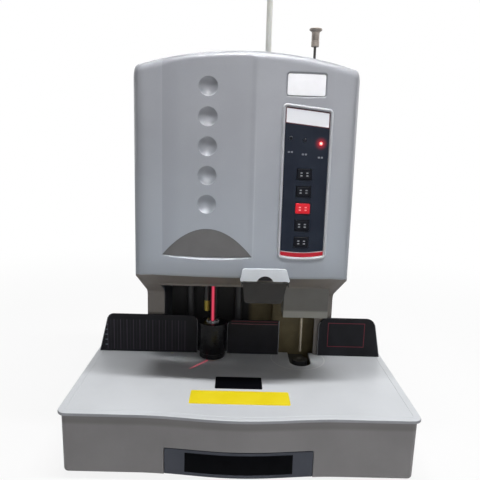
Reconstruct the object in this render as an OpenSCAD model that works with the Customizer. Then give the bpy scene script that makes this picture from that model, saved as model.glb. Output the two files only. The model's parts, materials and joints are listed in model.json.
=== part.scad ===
// Automatic paper drill and riveter: a wide table on a base with a chip drawer,
// and a tall head over it that drills on the left and rivets on the right.
// Millimetres, +X right, +Y to the back, +Z up, origin on the floor under the centre.

/* [Base] */
// Width of the table
body_w = 410; // [380:1:440]
// Depth of the table with its bowed front
body_d = 350; // [330:1:380]
// Height of the base from its bottom plate to the table's face
base_h = 76; // [70:1:90]
// Thickness of the table plate
table_t = 4; // [3:0.5:6]
// How far the table stands out past the base
table_lip = 4; // [2:0.5:6]
// Radius of the table's corners
table_corner_r = 11; // [9:0.5:20]
// How far the middle of the front bows out
front_bow = 8.5; // [4:0.5:12]
// Half of the width that the bow takes up
bow_half_w = 115; // [100:1:150]
// Wall of the base shell
base_wall = 3; // [2:0.5:4]
// Thickness of the bottom plate
floor_t = 2; // [1.5:0.5:3]
// Height of the rubber feet
foot_h = 5; // [3:1:15]
// Radius of the rubber feet
foot_r = 14; // [10:1:20]
// Distance of each foot's centre from the sides
foot_inset = 38; // [32:1:60]

/* [Drawer] */
// Width of the drawer front
drawer_w = 170; // [140:1:190]
// Distance from the table's face down to the drawer's top edge
drawer_drop = 41; // [34:0.5:44]
// Length of the chip tray
tray_l = 184; // [150:1:195]
// Wall of the chip tray
tray_wall = 2; // [1.5:0.5:3]

/* [Fence] */
// Distance from the front of the bow back to the fence
fence_setback = 185.5; // [180:0.5:195]
// Thickness of the fence plates
fence_t = 2.5; // [1.5:0.5:3]
// Height of the outer fence plates
fence_h = 57; // [50:1:62]
// Height of the middle fence plate
fence_mid_h = 51; // [45:1:60]
// Left end of the left plate
fence_left_x = -201.5; // [-203:0.5:-190]
// Right end of the right plate
fence_right_x = 201.5; // [190:0.5:203]

/* [Head] */
// Width of the head
head_w = 263; // [250:1:270]
// Place of the head's middle
head_x = -1.5; // [-3:0.5:3]
// How far the head's front corners stand ahead of the fence
head_reach = 86; // [80:1:95]
// How far the middle of the head's front stands ahead of its corners
head_bow = 12; // [8:0.5:16]
// Distance of the two upright creases from the middle
crease_x = 100; // [98:0.5:110]
// Height of the head's lower front edge above the table
head_low = 137; // [130:1:145]
// Height of the head's top corners above the table
head_side_h = 384; // [375:1:400]
// Rise of the arched roof
head_arch = 18; // [10:1:25]
// Radius of the top corners
head_corner_r = 7; // [4:0.5:12]
// Wall of the head's covers
head_wall = 3; // [2.5:0.5:4]
// Height of the column's opening above the table
column_h = 90; // [85:1:96]
// Distance from the fence back to the column's front
column_setback = 5; // [4:0.5:8]
// Width of the column's legs
leg_w = 24; // [18:1:28]
// Depth of the head behind the fence
head_back = 139.5; // [130:0.5:150]

/* [Panel] */
// Diameter of the round dimples
dimple_d = 22.4; // [18:0.2:26]
// Spacing of the dimples
dimple_pitch = 33.75; // [30:0.25:36]
// Place of the row of dimples
dimple_x = -45.5; // [-55:0.5:-40]
// Height of the lowest dimple above the table
dimple_low = 226.5; // [222:0.1:235]
// Depth of the dimples
dimple_depth = 6; // [4:0.5:7]
// Half of the width of the half-moon inlay
moon_half_w = 54.5; // [45:0.5:58]
// Rise of the half-moon's arch
moon_h = 33.5; // [25:0.5:38]
// Height of the half-moon's ends above the table
moon_lift = 163.5; // [160:0.5:166]
// Left side of the panel bezel
bezel_left = 40; // [36:0.5:44]
// Right side of the panel bezel
bezel_right = 99.5; // [96:0.5:104]
// Lower end of the panel bezel above the table
bezel_low = 163.6; // [158:0.2:166]
// Upper end of the panel bezel above the table
bezel_top = 342.5; // [335:0.5:350]
// How far the bezel stands proud
bezel_proud = 2.5; // [1.5:0.1:4]
// Width of a push button
button_w = 17; // [12:0.5:18]
// Height of a push button
button_h = 12; // [10:0.5:14]
// Spacing of the push buttons
button_pitch = 20.2; // [18:0.2:22]
// Height of the lowest button above the table
button_low = 183.8; // [180:0.2:186]
// Place of the row of buttons
button_x = 68.5; // [66:0.5:74]

/* [Drill station] */
// Place of the drill's axis
drill_x = -39; // [-42:0.5:-36]
// Distance of the holes from the fence
hole_margin = 15; // [12:0.5:18]
// Diameter of the presser foot
presser_d = 39; // [34:0.5:39]
// Gap between the presser foot and the table
presser_gap = 3; // [2:0.5:8]
// Height of the presser foot
presser_h = 51; // [45:1:55]
// Diameter of the spindle
spindle_d = 7; // [6:0.5:12]
// Diameter of the hollow drill bit
bit_d = 6; // [4:0.5:6]
// Diameter of the drill carriage's guide rods
rod_d = 12; // [10:0.5:14]
// Diameter of the two lead screws
screw_d = 10; // [8:0.5:12]
// Diameter of the drill motor
motor_d = 54; // [44:1:56]
// Length of the drill motor
motor_l = 80; // [60:1:82]

/* [Rivet station] */
// Place of the rivet's axis
rivet_x = 84.5; // [82:0.5:86]
// Diameter of the rivet ram
ram_d = 16; // [12:0.5:18]
// Diameter of the centring pin
pin_d = 3.3; // [2.5:0.1:4]
// Height of the pin's knob above the table
knob_z = 443; // [436:1:455]
// Width of the rivet cover
rivet_cover_w = 60.5; // [56:0.5:61]
// Height of the rivet cover's bottom above the table
rivet_gap = 66.5; // [65:0.5:75]
// Width of the table's slot for the lower die
die_slot_w = 30; // [26:0.5:34]

/* [Tube feed] */
// Place of the nylon tube
tube_x = 24; // [22:0.5:27]
// Outer diameter of the nylon tube
tube_d = 7; // [5:0.5:8]
// Inner diameter of the nylon tube
tube_bore = 4; // [3:0.5:5]
// Height of the tube's top end above the table
tube_top = 490; // [470:1:500]
// Distance of the tube ahead of the fence
tube_reach = 45; // [43:0.5:48]
// Radius of the feed rollers
roller_r = 9; // [7:0.5:11]

/* [Hidden] */

$fn = 64;
eps = 0.01;
far = 600;
// Clearances: a shaft in its bore, pieces that pass each other, and panels in their openings
run_gap = 0.05;
pass_gap = 0.3;
panel_gap = 0.6;

// Main levels and planes
z_base = foot_h;
z_floor = z_base + floor_t;
z_table = z_base + base_h;
z_under = z_table - table_t;
y_front = -body_d / 2;
y_rear = body_d / 2;
y_fence = y_front + fence_setback;
y_station = y_fence - hole_margin;
y_head = y_fence - head_reach;
y_leg = y_fence + column_setback;
y_back = y_fence + head_back;
split_ahead = 30.5;
y_split = y_fence - split_ahead;
foot_room = 2.5;
y_open = y_station - presser_d / 2 - foot_room;
z_low = z_table + head_low;
z_column = z_table + column_h;
z_roof = z_table + head_side_h;
head_half = head_w / 2;

// Frame inside the head
frame_left = -104;
frame_right = 113;
post_left = 48;
plate_t = 6;
post_t = 4;
frame_back = 53.5;
y_frame = y_fence + frame_back;
post_ahead = 14;
y_post = y_frame - post_ahead;
bridge_drop = 65;
z_bridge = z_roof - bridge_drop;
bridge_t = 8;
bridge_ahead = 40.5;
y_bridge = y_fence - bridge_ahead;

// Drill carriage, at its low end as in the photo
carriage_lift = 128;
carriage_low = z_table + carriage_lift;
carriage_h = 50;
carriage_top = carriage_low + carriage_h;
carriage_half_w = 51;
rod_half_span = 35;
rods_ahead = 20;
y_rods = y_frame - rods_ahead;
rod_block_half = 14;
presser_low = z_table + presser_gap;
presser_top = presser_low + presser_h;
presser_rod_d = 6;
presser_rod_back = 15.5;
presser_collar_d = 10;
presser_collar_h = 3;
spring_ledge = 15;
spring_wire = 1.2;
spring_d = 7;
spring_turns = 8;
thrust_d = 16;
thrust_h = 6;
laser_d = 9;
laser_l = 66;
laser_dx = -9.5;
laser_back = 23.5;
rod_block_low = 40;
rod_block_h = 30;

// Rivet station
rivet_rod_d = 10;
rod_wall = 2;
rivet_rod_span = 15;
rivet_rods_ahead = 22;
y_rivet_rods = y_post - rivet_rods_ahead;
bracket_lift = 107;
bracket_low = z_table + bracket_lift;
bracket_h = 12;
ram_low = z_table + rivet_gap - 2;
ram_head_h = 4;
rivet_block_lift = 102;
rivet_block_low = bracket_low + rivet_block_lift;
rivet_block_h = 28;
rivet_ahead = 28.5;
y_rivet_front = y_fence - rivet_ahead;
cover_left_reach = 27.5;
cover_left = rivet_x - cover_left_reach;
cover_wall = 2.5;
pin_lift = 12.6;
pin_low = z_table + pin_lift;
knob_sleeve_d = 10;
knob_sleeve_h = 19;
knob_d = 16;
knob_t = 3;
die_d = 22;
die_top = z_table + 1;
die_h = 16;
stepper_w = 42;
stepper_l = 40;

// Tube feed
y_tube = y_fence - tube_reach;
feed_back = 14.5;
y_feed = y_tube + feed_back;
feed_t = 4;
roller_lift = 249;
roller_z = z_table + roller_lift;
roller_w = 8;
roller_shaft_d = 5;
guide_lift = 159;
guide_low = z_table + guide_lift;
guide_h = 22;
tube_end = guide_low + guide_h + 4;
blade_t = 2;

// Buttons, board and lamps
overlay_t = 1;
board_t = 1.6;
button_l = 13.3;
button_proud = 1.4;
board_back = 2.9;
y_board = y_head + board_back;
lamp_d = 4;
top_button = button_low + 4 * button_pitch;
lamp_spots = [[51, top_button + 41.4], [67.5, top_button + 39], [86.5, top_button + 35.8]];

// Power inlet on the back
inlet_x = 105;
inlet_w = 60;
inlet_h = 20;
inlet_z = z_base + 27;
rocker_x = 85;
rocker_w = 13;
rocker_h = 17;
rocker_pin_d = 3;

function bow(x) = abs(x) < bow_half_w ? front_bow * (1 + cos(180 * x / bow_half_w)) / 2 : 0;
function arc(cx, cy, r, from, to, steps = 8) =
    [for (i = [0:steps]) let (a = from + (to - from) * i / steps) [cx + r * cos(a), cy + r * sin(a)]];
function crease_drop() = head_bow * 5.5 / 12;
function head_y(x) = let (u = abs(x - head_x)) u <= crease_x
    ? y_head - head_bow + crease_drop() * pow(u / crease_x, 2)
    : y_head - (head_bow - crease_drop()) * (head_half - u) / (head_half - crease_x);
function roof_z(x) = z_roof + head_arch * (1 - pow((x - head_x) / head_half, 2));
bow_steps = 24;

// Outline of the table seen from above, drawn in by inset
module table_plan(inset) {
    half = body_w / 2 - inset;
    r = max(table_corner_r - inset, 0.5);
    front = y_front + front_bow + inset;
    rear = y_rear - inset;
    polygon(concat(
        arc(-half + r, front + r, r, 180, 270),
        [for (i = [0:bow_steps]) let (x = bow_half_w * (2 * i / bow_steps - 1)) [x, front - bow(x)]],
        arc(half - r, front + r, r, 270, 360),
        arc(half - r, rear - r, r, 0, 90),
        arc(-half + r, rear - r, r, 90, 180)));
}

// Stations across the head's bowed front, from one side to the other
function front_stations(half) =
    [head_x - half, for (i = [0:bow_steps]) head_x + crease_x * (2 * i / bow_steps - 1), head_x + half];

// Band along the bowed front, from ahead of its face to behind it
module front_band(ahead, behind) {
    xs = front_stations(head_half);
    last = len(xs) - 1;
    polygon(concat(
        [for (x = xs) [x, head_y(x) - ahead]],
        [for (i = [last:-1:0]) [xs[i], head_y(xs[i]) + behind]]));
}

// Plan of the head, drawn in by inset
module head_plan(inset) {
    half = head_half - inset;
    polygon(concat(
        [for (x = front_stations(half)) [x, head_y(x) + inset]],
        [[head_x + half, y_back - inset], [head_x - half, y_back - inset]]));
}

// Front view of the head, drawn in by inset
module head_front(inset) {
    half = head_half - inset;
    r = head_corner_r - inset / 2;
    shoulder = half - r;
    shoulder_z = roof_z(head_x + shoulder) - inset - r;
    polygon(concat(
        [[head_x - half, z_table], [head_x + half, z_table]],
        arc(head_x + shoulder, shoulder_z, r, 0, 90),
        [for (i = [1:bow_steps - 1])
            let (x = head_x + shoulder * (1 - 2 * i / bow_steps)) [x, roof_z(x) - inset]],
        arc(head_x - shoulder, shoulder_z, r, 90, 180)));
}

// Side view of the head, drawn in by inset: its underside rises from the column to the front edge
under_slope = (z_low - z_column) / (y_leg - y_head);
module head_side(inset) {
    rise = inset * sqrt(1 + pow(under_slope, 2));
    polygon([
        [y_head - far, z_low + rise],
        [y_head, z_low + rise],
        [y_leg + inset, z_column + rise - inset * under_slope],
        [y_leg + inset, z_table - inset],
        [y_back + far, z_table - inset],
        [y_back + far, z_roof + far],
        [y_head - far, z_roof + far]]);
}

// Extrude a drawing of X and Z along Y, from y_from to y_to
module along_y(y_from, y_to) {
    translate([0, y_to, 0]) rotate([90, 0, 0]) linear_extrude(y_to - y_from) children();
}

// Extrude a drawing of Y and Z along X, from x_from to x_to
module along_x(x_from, x_to) {
    translate([x_from, 0, 0]) rotate([90, 0, 90]) linear_extrude(x_to - x_from) children();
}

// Extrude a drawing of X and Y upwards, from z_from to z_to
module upright(z_from, z_to) {
    translate([0, 0, z_from]) linear_extrude(z_to - z_from) children();
}

// Box between two corners
module block(low, high) {
    translate(low) cube(high - low);
}

// Upright round bar
module bar(x, y, z_from, z_to, d) {
    translate([x, y, z_from]) cylinder(d = d, h = z_to - z_from);
}

// Rectangle with round corners
module round_rect(low, high, r) {
    polygon(concat(
        arc(low.x + r, low.y + r, r, 180, 270),
        arc(high.x - r, low.y + r, r, 270, 360),
        arc(high.x - r, high.y - r, r, 0, 90),
        arc(low.x + r, high.y - r, r, 90, 180)));
}

module head_body(inset) {
    intersection() {
        along_y(y_head - 2 * head_bow, y_back) head_front(inset);
        upright(z_table - 1, z_roof + head_arch + 1) head_plan(inset);
        along_x(head_x - head_half, head_x + head_half) head_side(inset);
    }
}

// Hollow head, open at its foot and at the working space between the legs
module head_shell() {
    opening_half = head_half - leg_w;
    difference() {
        head_body(0);
        head_body(head_wall);
        block([head_x - head_half + head_wall, y_leg + head_wall, z_table - 1],
            [head_x + head_half - head_wall, y_back - head_wall, z_column - leg_w]);
        block([head_x - opening_half, y_open, z_table - 1],
            [head_x + opening_half, y_leg + head_wall + 1, z_low]);
    }
}

// The space below the head's underside, less a gap
module below_head(gap) {
    along_x(-head_half, head_half) polygon([
        [y_head - far, 0], [y_leg, 0],
        [y_leg, z_column - gap], [y_head, z_low - gap], [y_head - far, z_low - gap]]);
}

// Base
module rubber_feet() {
    color("#202020")
        for (sx = [-1, 1], y = [y_front + front_bow + foot_inset, y_rear - foot_inset])
            bar(sx * (body_w / 2 - foot_inset), y, 0, foot_h, 2 * foot_r);
}

tray_half = drawer_w / 2 - 4;
tray_front = y_front + front_bow + table_lip + base_wall - 0.5;
runner_h = 3;
runner_t = 3;
flange_w = 5.2;
module base_plate() {
    color("#6d7074") {
        upright(z_base, z_floor) table_plan(table_lip + flange_w + run_gap);
        for (sx = [-1, 1])
            mirror([sx < 0 ? 1 : 0, 0, 0])
                block([tray_half + pass_gap, tray_front + 15, z_floor],
                    [tray_half + pass_gap + runner_t, tray_front + tray_l, z_floor + runner_h]);
    }
}

drawer_top = z_table - drawer_drop;
module base_shell() {
    color("#a3a5a8") difference() {
        upright(z_base, z_under) table_plan(table_lip);
        upright(z_floor, z_under + 1) table_plan(table_lip + base_wall);
        upright(z_base - 1, z_under + 1) table_plan(table_lip + flange_w);
        block([-drawer_w / 2, y_front - 1, z_base - 1], [drawer_w / 2, y_front + 40, drawer_top]);
        block([inlet_x - inlet_w / 2 - pass_gap, y_rear - 30, inlet_z - inlet_h / 2 - pass_gap],
            [inlet_x + inlet_w / 2 + pass_gap, y_rear, inlet_z + inlet_h / 2 + pass_gap]);
    }
}

pad_r = 12;
pad_ledge = 3;
pad_t = 3;
well_front = y_fence + 9.5;
well_depth = 110;
well_gap = 3;
slot_ahead = 8;
slot_front = y_station - slot_ahead;
module table_top() {
    color("#d8dadb") difference() {
        upright(z_under, z_table) table_plan(0);
        upright(z_under - 1, z_table + 1) {
            translate([rivet_x, slot_front]) circle(d = die_slot_w);
            translate([rivet_x - die_slot_w / 2, slot_front]) square([die_slot_w, well_front - slot_front]);
            translate([frame_left - well_gap, well_front])
                square([frame_right - frame_left + 2 * well_gap, well_depth]);
        }
        bar(drill_x, y_station, z_under - 1, z_table + 1, 2 * (pad_r - pad_ledge));
        bar(drill_x, y_station, z_table - pad_t, z_table + 1, 2 * (pad_r + run_gap));
    }
}

module drill_pad() {
    color("#ece7d4") bar(drill_x, y_station, z_table - pad_t, z_table, 2 * pad_r);
}

// Fence
fence_foot = 6;
left_plate_end = drill_x - presser_d / 2 - 2.5;
mid_plate_start = drill_x + presser_d / 2 + 0.5;
mid_plate_end = rivet_x - 29;
right_plate_start = rivet_x + 27;
module fence_plate(outline, foot_from, foot_to) {
    color("#1d1e22") {
        along_y(y_fence, y_fence + fence_t) polygon(outline);
        block([foot_from, y_fence + fence_t, z_table],
            [foot_to, y_fence + fence_t + fence_foot, z_table + fence_t]);
    }
}

fence_corner_r = 10;
module left_fence() {
    top = z_table + fence_h - 1;
    slant = 11;
    fence_plate(concat(
        [[fence_left_x, z_table], [left_plate_end, z_table]],
        arc(left_plate_end - fence_corner_r, top - fence_corner_r, fence_corner_r, 0, 90),
        arc(fence_left_x + slant + fence_corner_r, top - fence_corner_r, fence_corner_r, 90, 170)),
        fence_left_x + 4, head_x - head_half - 5);
}

module middle_fence() {
    top = z_table + fence_mid_h;
    fence_plate(concat(
        [[mid_plate_start, z_table], [mid_plate_end, z_table], [mid_plate_end, top]],
        arc(mid_plate_start + fence_corner_r, top - fence_corner_r, fence_corner_r, 90, 180)),
        mid_plate_start + 4, mid_plate_end - 4);
}

right_corner_r = 14;
module right_fence() {
    top = z_table + fence_h;
    slant = 8;
    fence_plate(concat(
        [[right_plate_start, z_table], [fence_right_x, z_table]],
        arc(fence_right_x - slant - right_corner_r, top - right_corner_r, right_corner_r, 10, 90),
        arc(right_plate_start + right_corner_r, top - right_corner_r, right_corner_r, 90, 180)),
        head_x + head_half + 5, fence_right_x - 4);
}

// Head covers
vent_w = 60;
vent_h = 4;
vent_pitch = 10;
vent_count = 12;
vent_step = 45;
vent_low = z_low + 40;
roof_hole_gap = 1;
roof_cut = 20;
module rear_cover() {
    color("#a9acb0") difference() {
        intersection() {
            head_shell();
            block([-far, y_split, 0], [far, far, far]);
        }
        for (i = [0:vent_count - 1], sx = [-1, 1])
            let (left = head_x + sx * vent_step - vent_w / 2, low = vent_low + i * vent_pitch)
                translate([left, y_back - head_wall - 1, low]) cube([vent_w, head_wall + 2, vent_h]);
        bar(rivet_x, y_station, z_roof - roof_cut, z_roof + far, pin_d + 2 * roof_hole_gap);
    }
}

// Drawing of the half-moon and of the panel, in X and Z
moon_x = -44;
moon_low = z_table + moon_lift;
moon_sag = 1.5;
moon_lip = 2.5;
moon_steps = 24;
module half_moon(gap, sag) {
    half = moon_half_w - gap;
    us = [for (i = [0:moon_steps]) 2 * i / moon_steps - 1];
    polygon(concat(
        [for (u = us) [moon_x - u * half, moon_low + gap + (moon_h - 2 * gap) * (1 - u * u)]],
        [for (i = [1:moon_steps - 1]) [moon_x + us[i] * half, moon_low + gap - sag * (1 - us[i] * us[i])]]));
}

// Shallow sunk panel from the half-moon's arch up to the roof
module sunk_panel() {
    half = moon_half_w - sunk_edge;
    low = moon_low - sunk_edge;
    polygon(concat(
        [[moon_x + half, z_roof + far], [moon_x - half, z_roof + far]],
        [for (i = [0:moon_steps]) let (u = (2 * i / moon_steps - 1) * half / moon_half_w)
            [moon_x + u * moon_half_w, low + moon_h * (1 - u * u)]]));
}

bezel_slant = 2.4;
bezel_sag = 2;
bezel_rim = 3.8;
bezel_r = 6;
module panel_outline(inset) {
    left = bezel_left + inset;
    right = bezel_right - inset;
    low = z_table + bezel_low + inset;
    top = z_table + bezel_top - inset;
    r = max(bezel_r - inset, 2);
    middle = (left + right) / 2;
    half = (right - left) / 2 - r;
    polygon(concat(
        arc(left + r, low + r, r, 180, 270, 4),
        [for (i = [1:7]) let (u = i / 4 - 1) [middle + u * half, low - bezel_sag * (1 - u * u)]],
        arc(right - r, low + r, r, 270, 360, 4),
        arc(right - r, top - bezel_slant - r, r, 0, 90, 4),
        arc(left + r, top + bezel_slant - r, r, 90, 180, 4)));
}

function button_z(i) = z_table + button_low + (4 - i) * button_pitch;
module panel_holes(gap) {
    for (i = [0:4])
        translate([button_x - button_w / 2 - gap, button_z(i) - button_h / 2 - gap])
            square([button_w + 2 * gap, button_h + 2 * gap]);
    for (spot = lamp_spots)
        translate([spot.x, z_table + spot.y]) circle(d = lamp_d + gap);
}

// A thin sheet that follows the bowed front: the drawing's shape, between two depths
module on_front(ahead, behind) {
    intersection() {
        along_y(y_head - 3 * head_bow, y_head + head_bow) children();
        upright(z_low - 40, z_roof + head_arch) front_band(ahead, behind);
    }
}

moon_depth = 2.2;
moon_sunk = 1.3;
moon_gap = 0.2;
sunk_depth = 1;
sunk_edge = 0.5;
dimple_wall = 2;
plate_low = z_table + bezel_top + 11.3;
plate_h = 23.6;
plate_left = 45;
plate_w = 43.5;
name_plate_t = 0.8;
button_gap = 0.5;
drop_hole_d = 12;
module dimple_row(ball_r, r) {
    for (i = [0:4])
        let (y = head_y(dimple_x) + sunk_depth - ball_r + dimple_depth)
            translate([dimple_x, y, z_table + dimple_low + i * dimple_pitch]) sphere(r = r, $fn = 96);
}

module front_cover() {
    dimple_ball = (pow(dimple_d / 2, 2) + pow(dimple_depth, 2)) / (2 * dimple_depth);
    color("#adb0b5") difference() {
        union() {
            intersection() {
                head_shell();
                block([-far, -far, 0], [far, y_split, far]);
            }
            intersection() {
                dimple_row(dimple_ball, dimple_ball + dimple_wall);
                upright(z_low, z_roof) front_band(0, 2 * dimple_depth);
            }
        }
        dimple_row(dimple_ball, dimple_ball);
        on_front(1, sunk_depth) sunk_panel();
        on_front(1, moon_depth) half_moon(0, moon_sag + moon_lip);
        on_front(1, head_wall + 1) panel_holes(button_gap);
        bar(tube_x, y_tube, z_roof - roof_cut, z_roof + far, tube_d + 2 * roof_hole_gap);
        bar(tube_x, y_tube, z_column, z_low, drop_hole_d);
    }
}

module half_moon_inlay() {
    color("#75787c") on_front(-moon_sunk, moon_depth) half_moon(moon_gap, moon_sag);
}

module name_plate() {
    color("#f2f2f0") on_front(name_plate_t, 0)
        round_rect([plate_left, plate_low], [plate_left + plate_w, plate_low + plate_h], 2);
}

module panel_bezel() {
    color("#9a9da2") difference() {
        on_front(bezel_proud, 0) panel_outline(0);
        on_front(bezel_proud + 1, 1) panel_outline(bezel_rim);
    }
}

module panel_overlay() {
    color("#2a2d38") difference() {
        on_front(overlay_t, 0) panel_outline(bezel_rim + 0.1);
        on_front(overlay_t + 1, 1) panel_holes(button_gap);
    }
}

board_margin = 4;
module panel_board() {
    left = bezel_left + board_margin;
    right = bezel_right - board_margin;
    low = z_table + bezel_low + board_margin;
    top = z_table + bezel_top - 2 * board_margin;
    pillar_d = 6;
    color("#2f6b3c") block([left, y_board, low], [right, y_board + board_t, top]);
    color("#c8c8c8")
        for (x = [left + pillar_d, right - pillar_d], z = [low + pillar_d, top - pillar_d])
            along_y(head_y(x + pillar_d / 2) + head_wall + pass_gap, y_board)
                translate([x, z]) circle(d = pillar_d);
}

module status_lamps() {
    color("#7a1f1f")
        for (spot = lamp_spots)
            along_y(head_y(spot.x) - overlay_t - 0.6, y_board)
                translate([spot.x, z_table + spot.y]) circle(d = lamp_d);
}

module push_button(i) {
    front = head_y(button_x) - overlay_t - button_proud;
    color(i == 2 ? "#c8202a" : "#17181c")
        along_y(front, y_board - 1.3)
            round_rect([button_x - button_w / 2, button_z(i) - button_h / 2],
                [button_x + button_w / 2, button_z(i) + button_h / 2], 1.5);
}

// Rivet cover, outlet cowl and guard under the head
rivet_hole_gap = 2;
cover_ahead = 32;
module rivet_cover() {
    low = z_table + rivet_gap;
    right = cover_left + rivet_cover_w;
    front = y_fence - cover_ahead;
    color("#a0a3a8") difference() {
        intersection() {
            block([cover_left, front, low], [right, y_leg, z_low]);
            below_head(pass_gap);
        }
        block([cover_left + cover_wall, front + cover_wall, low + cover_wall],
            [right - cover_wall, y_leg + 1, z_low + 1]);
        bar(rivet_x, y_station, low - 1, low + cover_wall + 1, ram_d + 2 * rivet_hole_gap);
    }
}

cowl_left = -3;
cowl_right = 57;
cowl_lift = 135.5;
cowl_h = 15;
cowl_low = z_table + cowl_lift;
cowl_top = cowl_low + cowl_h;
cowl_proud = 4.5;
cowl_back = 26;
cowl_gap = 0.2;
notch_x = 27;
notch_r = 11;
notch_rise = 6.5;
guard_top = cowl_low - 1.5;
guard_h = 26;
guard_left = 0;
guard_right = 54;
guard_wall = 1.8;
guard_deep = 24;
guard_pin_d = 3;
guard_pin_root = 2;
guard_gap = 1;
guard_taper = 5;
lug_t = 1.6;
y_guard = y_head - head_bow - 4.2;
y_pin = y_guard + 2.2;
z_pin = guard_top - 1.8;
module outlet_cowl() {
    color("#dfe1e2") difference() {
        union() {
            on_front(cowl_proud, 0)
                polygon([[cowl_left, cowl_low], [cowl_right, cowl_low],
                    [cowl_right - 4.5, cowl_top], [cowl_left + 2.6, cowl_top]]);
            intersection() {
                block([cowl_left, y_head - 2 * head_bow, cowl_low],
                    [cowl_right, y_head - head_bow + cowl_back, z_low]);
                upright(cowl_low, z_low) front_band(cowl_proud, cowl_back);
                below_head(cowl_gap);
            }
            for (x = [guard_left - pass_gap - lug_t, guard_right + pass_gap])
                block([x, y_pin - 3, z_pin - 3], [x + lug_t, y_pin + 4, cowl_low + eps]);
        }
        along_y(y_head - 3 * head_bow, y_head + far)
            translate([notch_x, cowl_low + notch_rise - notch_r]) circle(r = notch_r);
        along_x(guard_left - 10, guard_right + 10)
            translate([y_pin, z_pin]) circle(d = guard_pin_d + 2 * run_gap);
    }
}

module smoked_guard() {
    low = guard_top - guard_h;
    color("#3a3a3ac0") {
        difference() {
            intersection() {
                along_y(y_guard, y_guard + guard_deep) polygon(concat(
                    [[guard_left, guard_top]],
                    arc(guard_left + guard_taper + 2, low + 5, 5, 180, 270, 4),
                    arc(guard_right - guard_taper - 5, low + 5, 5, 270, 360, 4),
                    [[guard_right, guard_top]]));
                below_head(guard_gap);
            }
            along_y(y_guard + guard_wall, y_guard + guard_deep + 1) polygon([
                [guard_left + guard_wall, guard_top + 1],
                [guard_left + guard_taper + guard_wall, low + guard_wall + 2],
                [guard_right - guard_taper - 2 - guard_wall, low + guard_wall + 2],
                [guard_right - guard_wall, guard_top + 1]]);
        }
        for (x = [guard_left - pass_gap - lug_t, guard_right - guard_pin_root])
            along_x(x, x + pass_gap + lug_t + guard_pin_root)
                translate([y_pin, z_pin]) circle(d = guard_pin_d);
    }
}

// Frame that carries both stations
frame_foot = 40;
module column_frame() {
    color("#b8a35c") {
        block([frame_left, y_frame, z_floor], [frame_right, y_frame + plate_t, z_bridge]);
        block([frame_left, y_frame + plate_t, z_floor],
            [frame_right, y_frame + plate_t + frame_foot, z_floor + plate_t]);
        block([post_left, y_post, z_floor], [frame_right, y_post + post_t, z_bridge]);
        for (x = [post_left, frame_right - post_t])
            block([x, y_post + post_t, z_floor], [x + post_t, y_frame, z_bridge]);
    }
}

screw_hole_gap = 0.5;
module top_bridge() {
    color("#b9bcc0") difference() {
        block([frame_left, y_bridge, z_bridge], [frame_right, y_frame + plate_t, z_bridge + bridge_t]);
        bar(drill_x, y_rods, z_bridge - 1, z_bridge + bridge_t + 1, screw_d + 2 * screw_hole_gap);
        bar(rivet_x, y_rivet_rods, z_bridge - 1, z_bridge + bridge_t + 1, screw_d + 2 * screw_hole_gap);
        bar(rivet_x, y_station, z_bridge - 1, z_bridge + bridge_t + 1, pin_d + 2 * run_gap);
    }
}

rod_block_top = rod_block_low + rod_block_h;
module rod_block() {
    color("#8d9095")
        block([drill_x - rod_half_span - 20, y_rods - 15, rod_block_low],
            [drill_x + rod_half_span + 20, y_frame, rod_block_top]);
}

module guide_rods() {
    color("#c9ccd0") {
        for (sx = [-1, 1])
            bar(drill_x + sx * rod_half_span, y_rods, rod_block_top, z_bridge, rod_d);
        for (sx = [-1, 1])
            bar(rivet_x + sx * rivet_rod_span, y_rivet_rods, bracket_low + bracket_h, z_bridge, rivet_rod_d);
    }
}

module stepper_motors() {
    low = z_bridge + bridge_t;
    color("#33353a")
        for (at = [[drill_x, y_rods], [rivet_x, y_rivet_rods]])
            block([at.x - stepper_w / 2, at.y - stepper_w / 2, low],
                [at.x + stepper_w / 2, at.y + stepper_w / 2, low + stepper_l]);
}

module lift_screw() {
    color("#9da0a4")
        bar(drill_x, y_rods, rod_block_top + pass_gap, z_bridge + bridge_t - pass_gap, screw_d);
}

// Drill carriage with its spindle, presser foot and laser
neck_w = 36;
housing_d = 44;
spring_chamber_d = 10.4;
module drill_carriage() {
    y_presser = y_station + presser_rod_back;
    color("#7f8388") difference() {
        union() {
            block([drill_x - carriage_half_w, y_rods - rod_block_half, carriage_low],
                [drill_x + carriage_half_w, y_rods + rod_block_half, carriage_top]);
            block([drill_x - neck_w / 2, y_station, carriage_low],
                [drill_x + neck_w / 2, y_rods - rod_block_half + eps, carriage_top]);
            bar(drill_x, y_station, carriage_low, carriage_top, housing_d);
        }
        for (sx = [-1, 1])
            let (x = drill_x + sx * rod_half_span)
                bar(x, y_rods, carriage_low - 1, carriage_top + 1, rod_d + 2 * run_gap);
        bar(drill_x, y_rods, carriage_low - 1, carriage_top + 1, screw_d + 2 * run_gap);
        bar(drill_x, y_station, carriage_low - 1, carriage_top + 1, spindle_d + 2 * run_gap);
        bar(drill_x, y_presser, carriage_low - 1, carriage_top + 1, presser_rod_d + 2 * run_gap);
        bar(drill_x, y_presser, carriage_low + spring_ledge, carriage_top + 1, spring_chamber_d);
    }
}

module drill_motor() {
    color("#3b3d42") difference() {
        bar(drill_x, y_station, carriage_top, carriage_top + motor_l, motor_d);
        bar(drill_x, y_station, carriage_top + motor_l - 2, carriage_top + motor_l + 1, motor_d / 3);
    }
}

spindle_low = presser_top - 3;
module spindle() {
    color("#b4b7bb") {
        bar(drill_x, y_station, spindle_low, carriage_top - pass_gap, spindle_d);
        bar(drill_x, y_station, carriage_low - pass_gap - thrust_h, carriage_low - pass_gap, thrust_d);
    }
}

bit_wall = 1;
module drill_bit() {
    color("#d0d2d4") difference() {
        bar(drill_x, y_station, presser_low + 1, spindle_low, bit_d);
        bar(drill_x, y_station, presser_low, spindle_low - 6, bit_d - 2 * bit_wall);
    }
}

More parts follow.
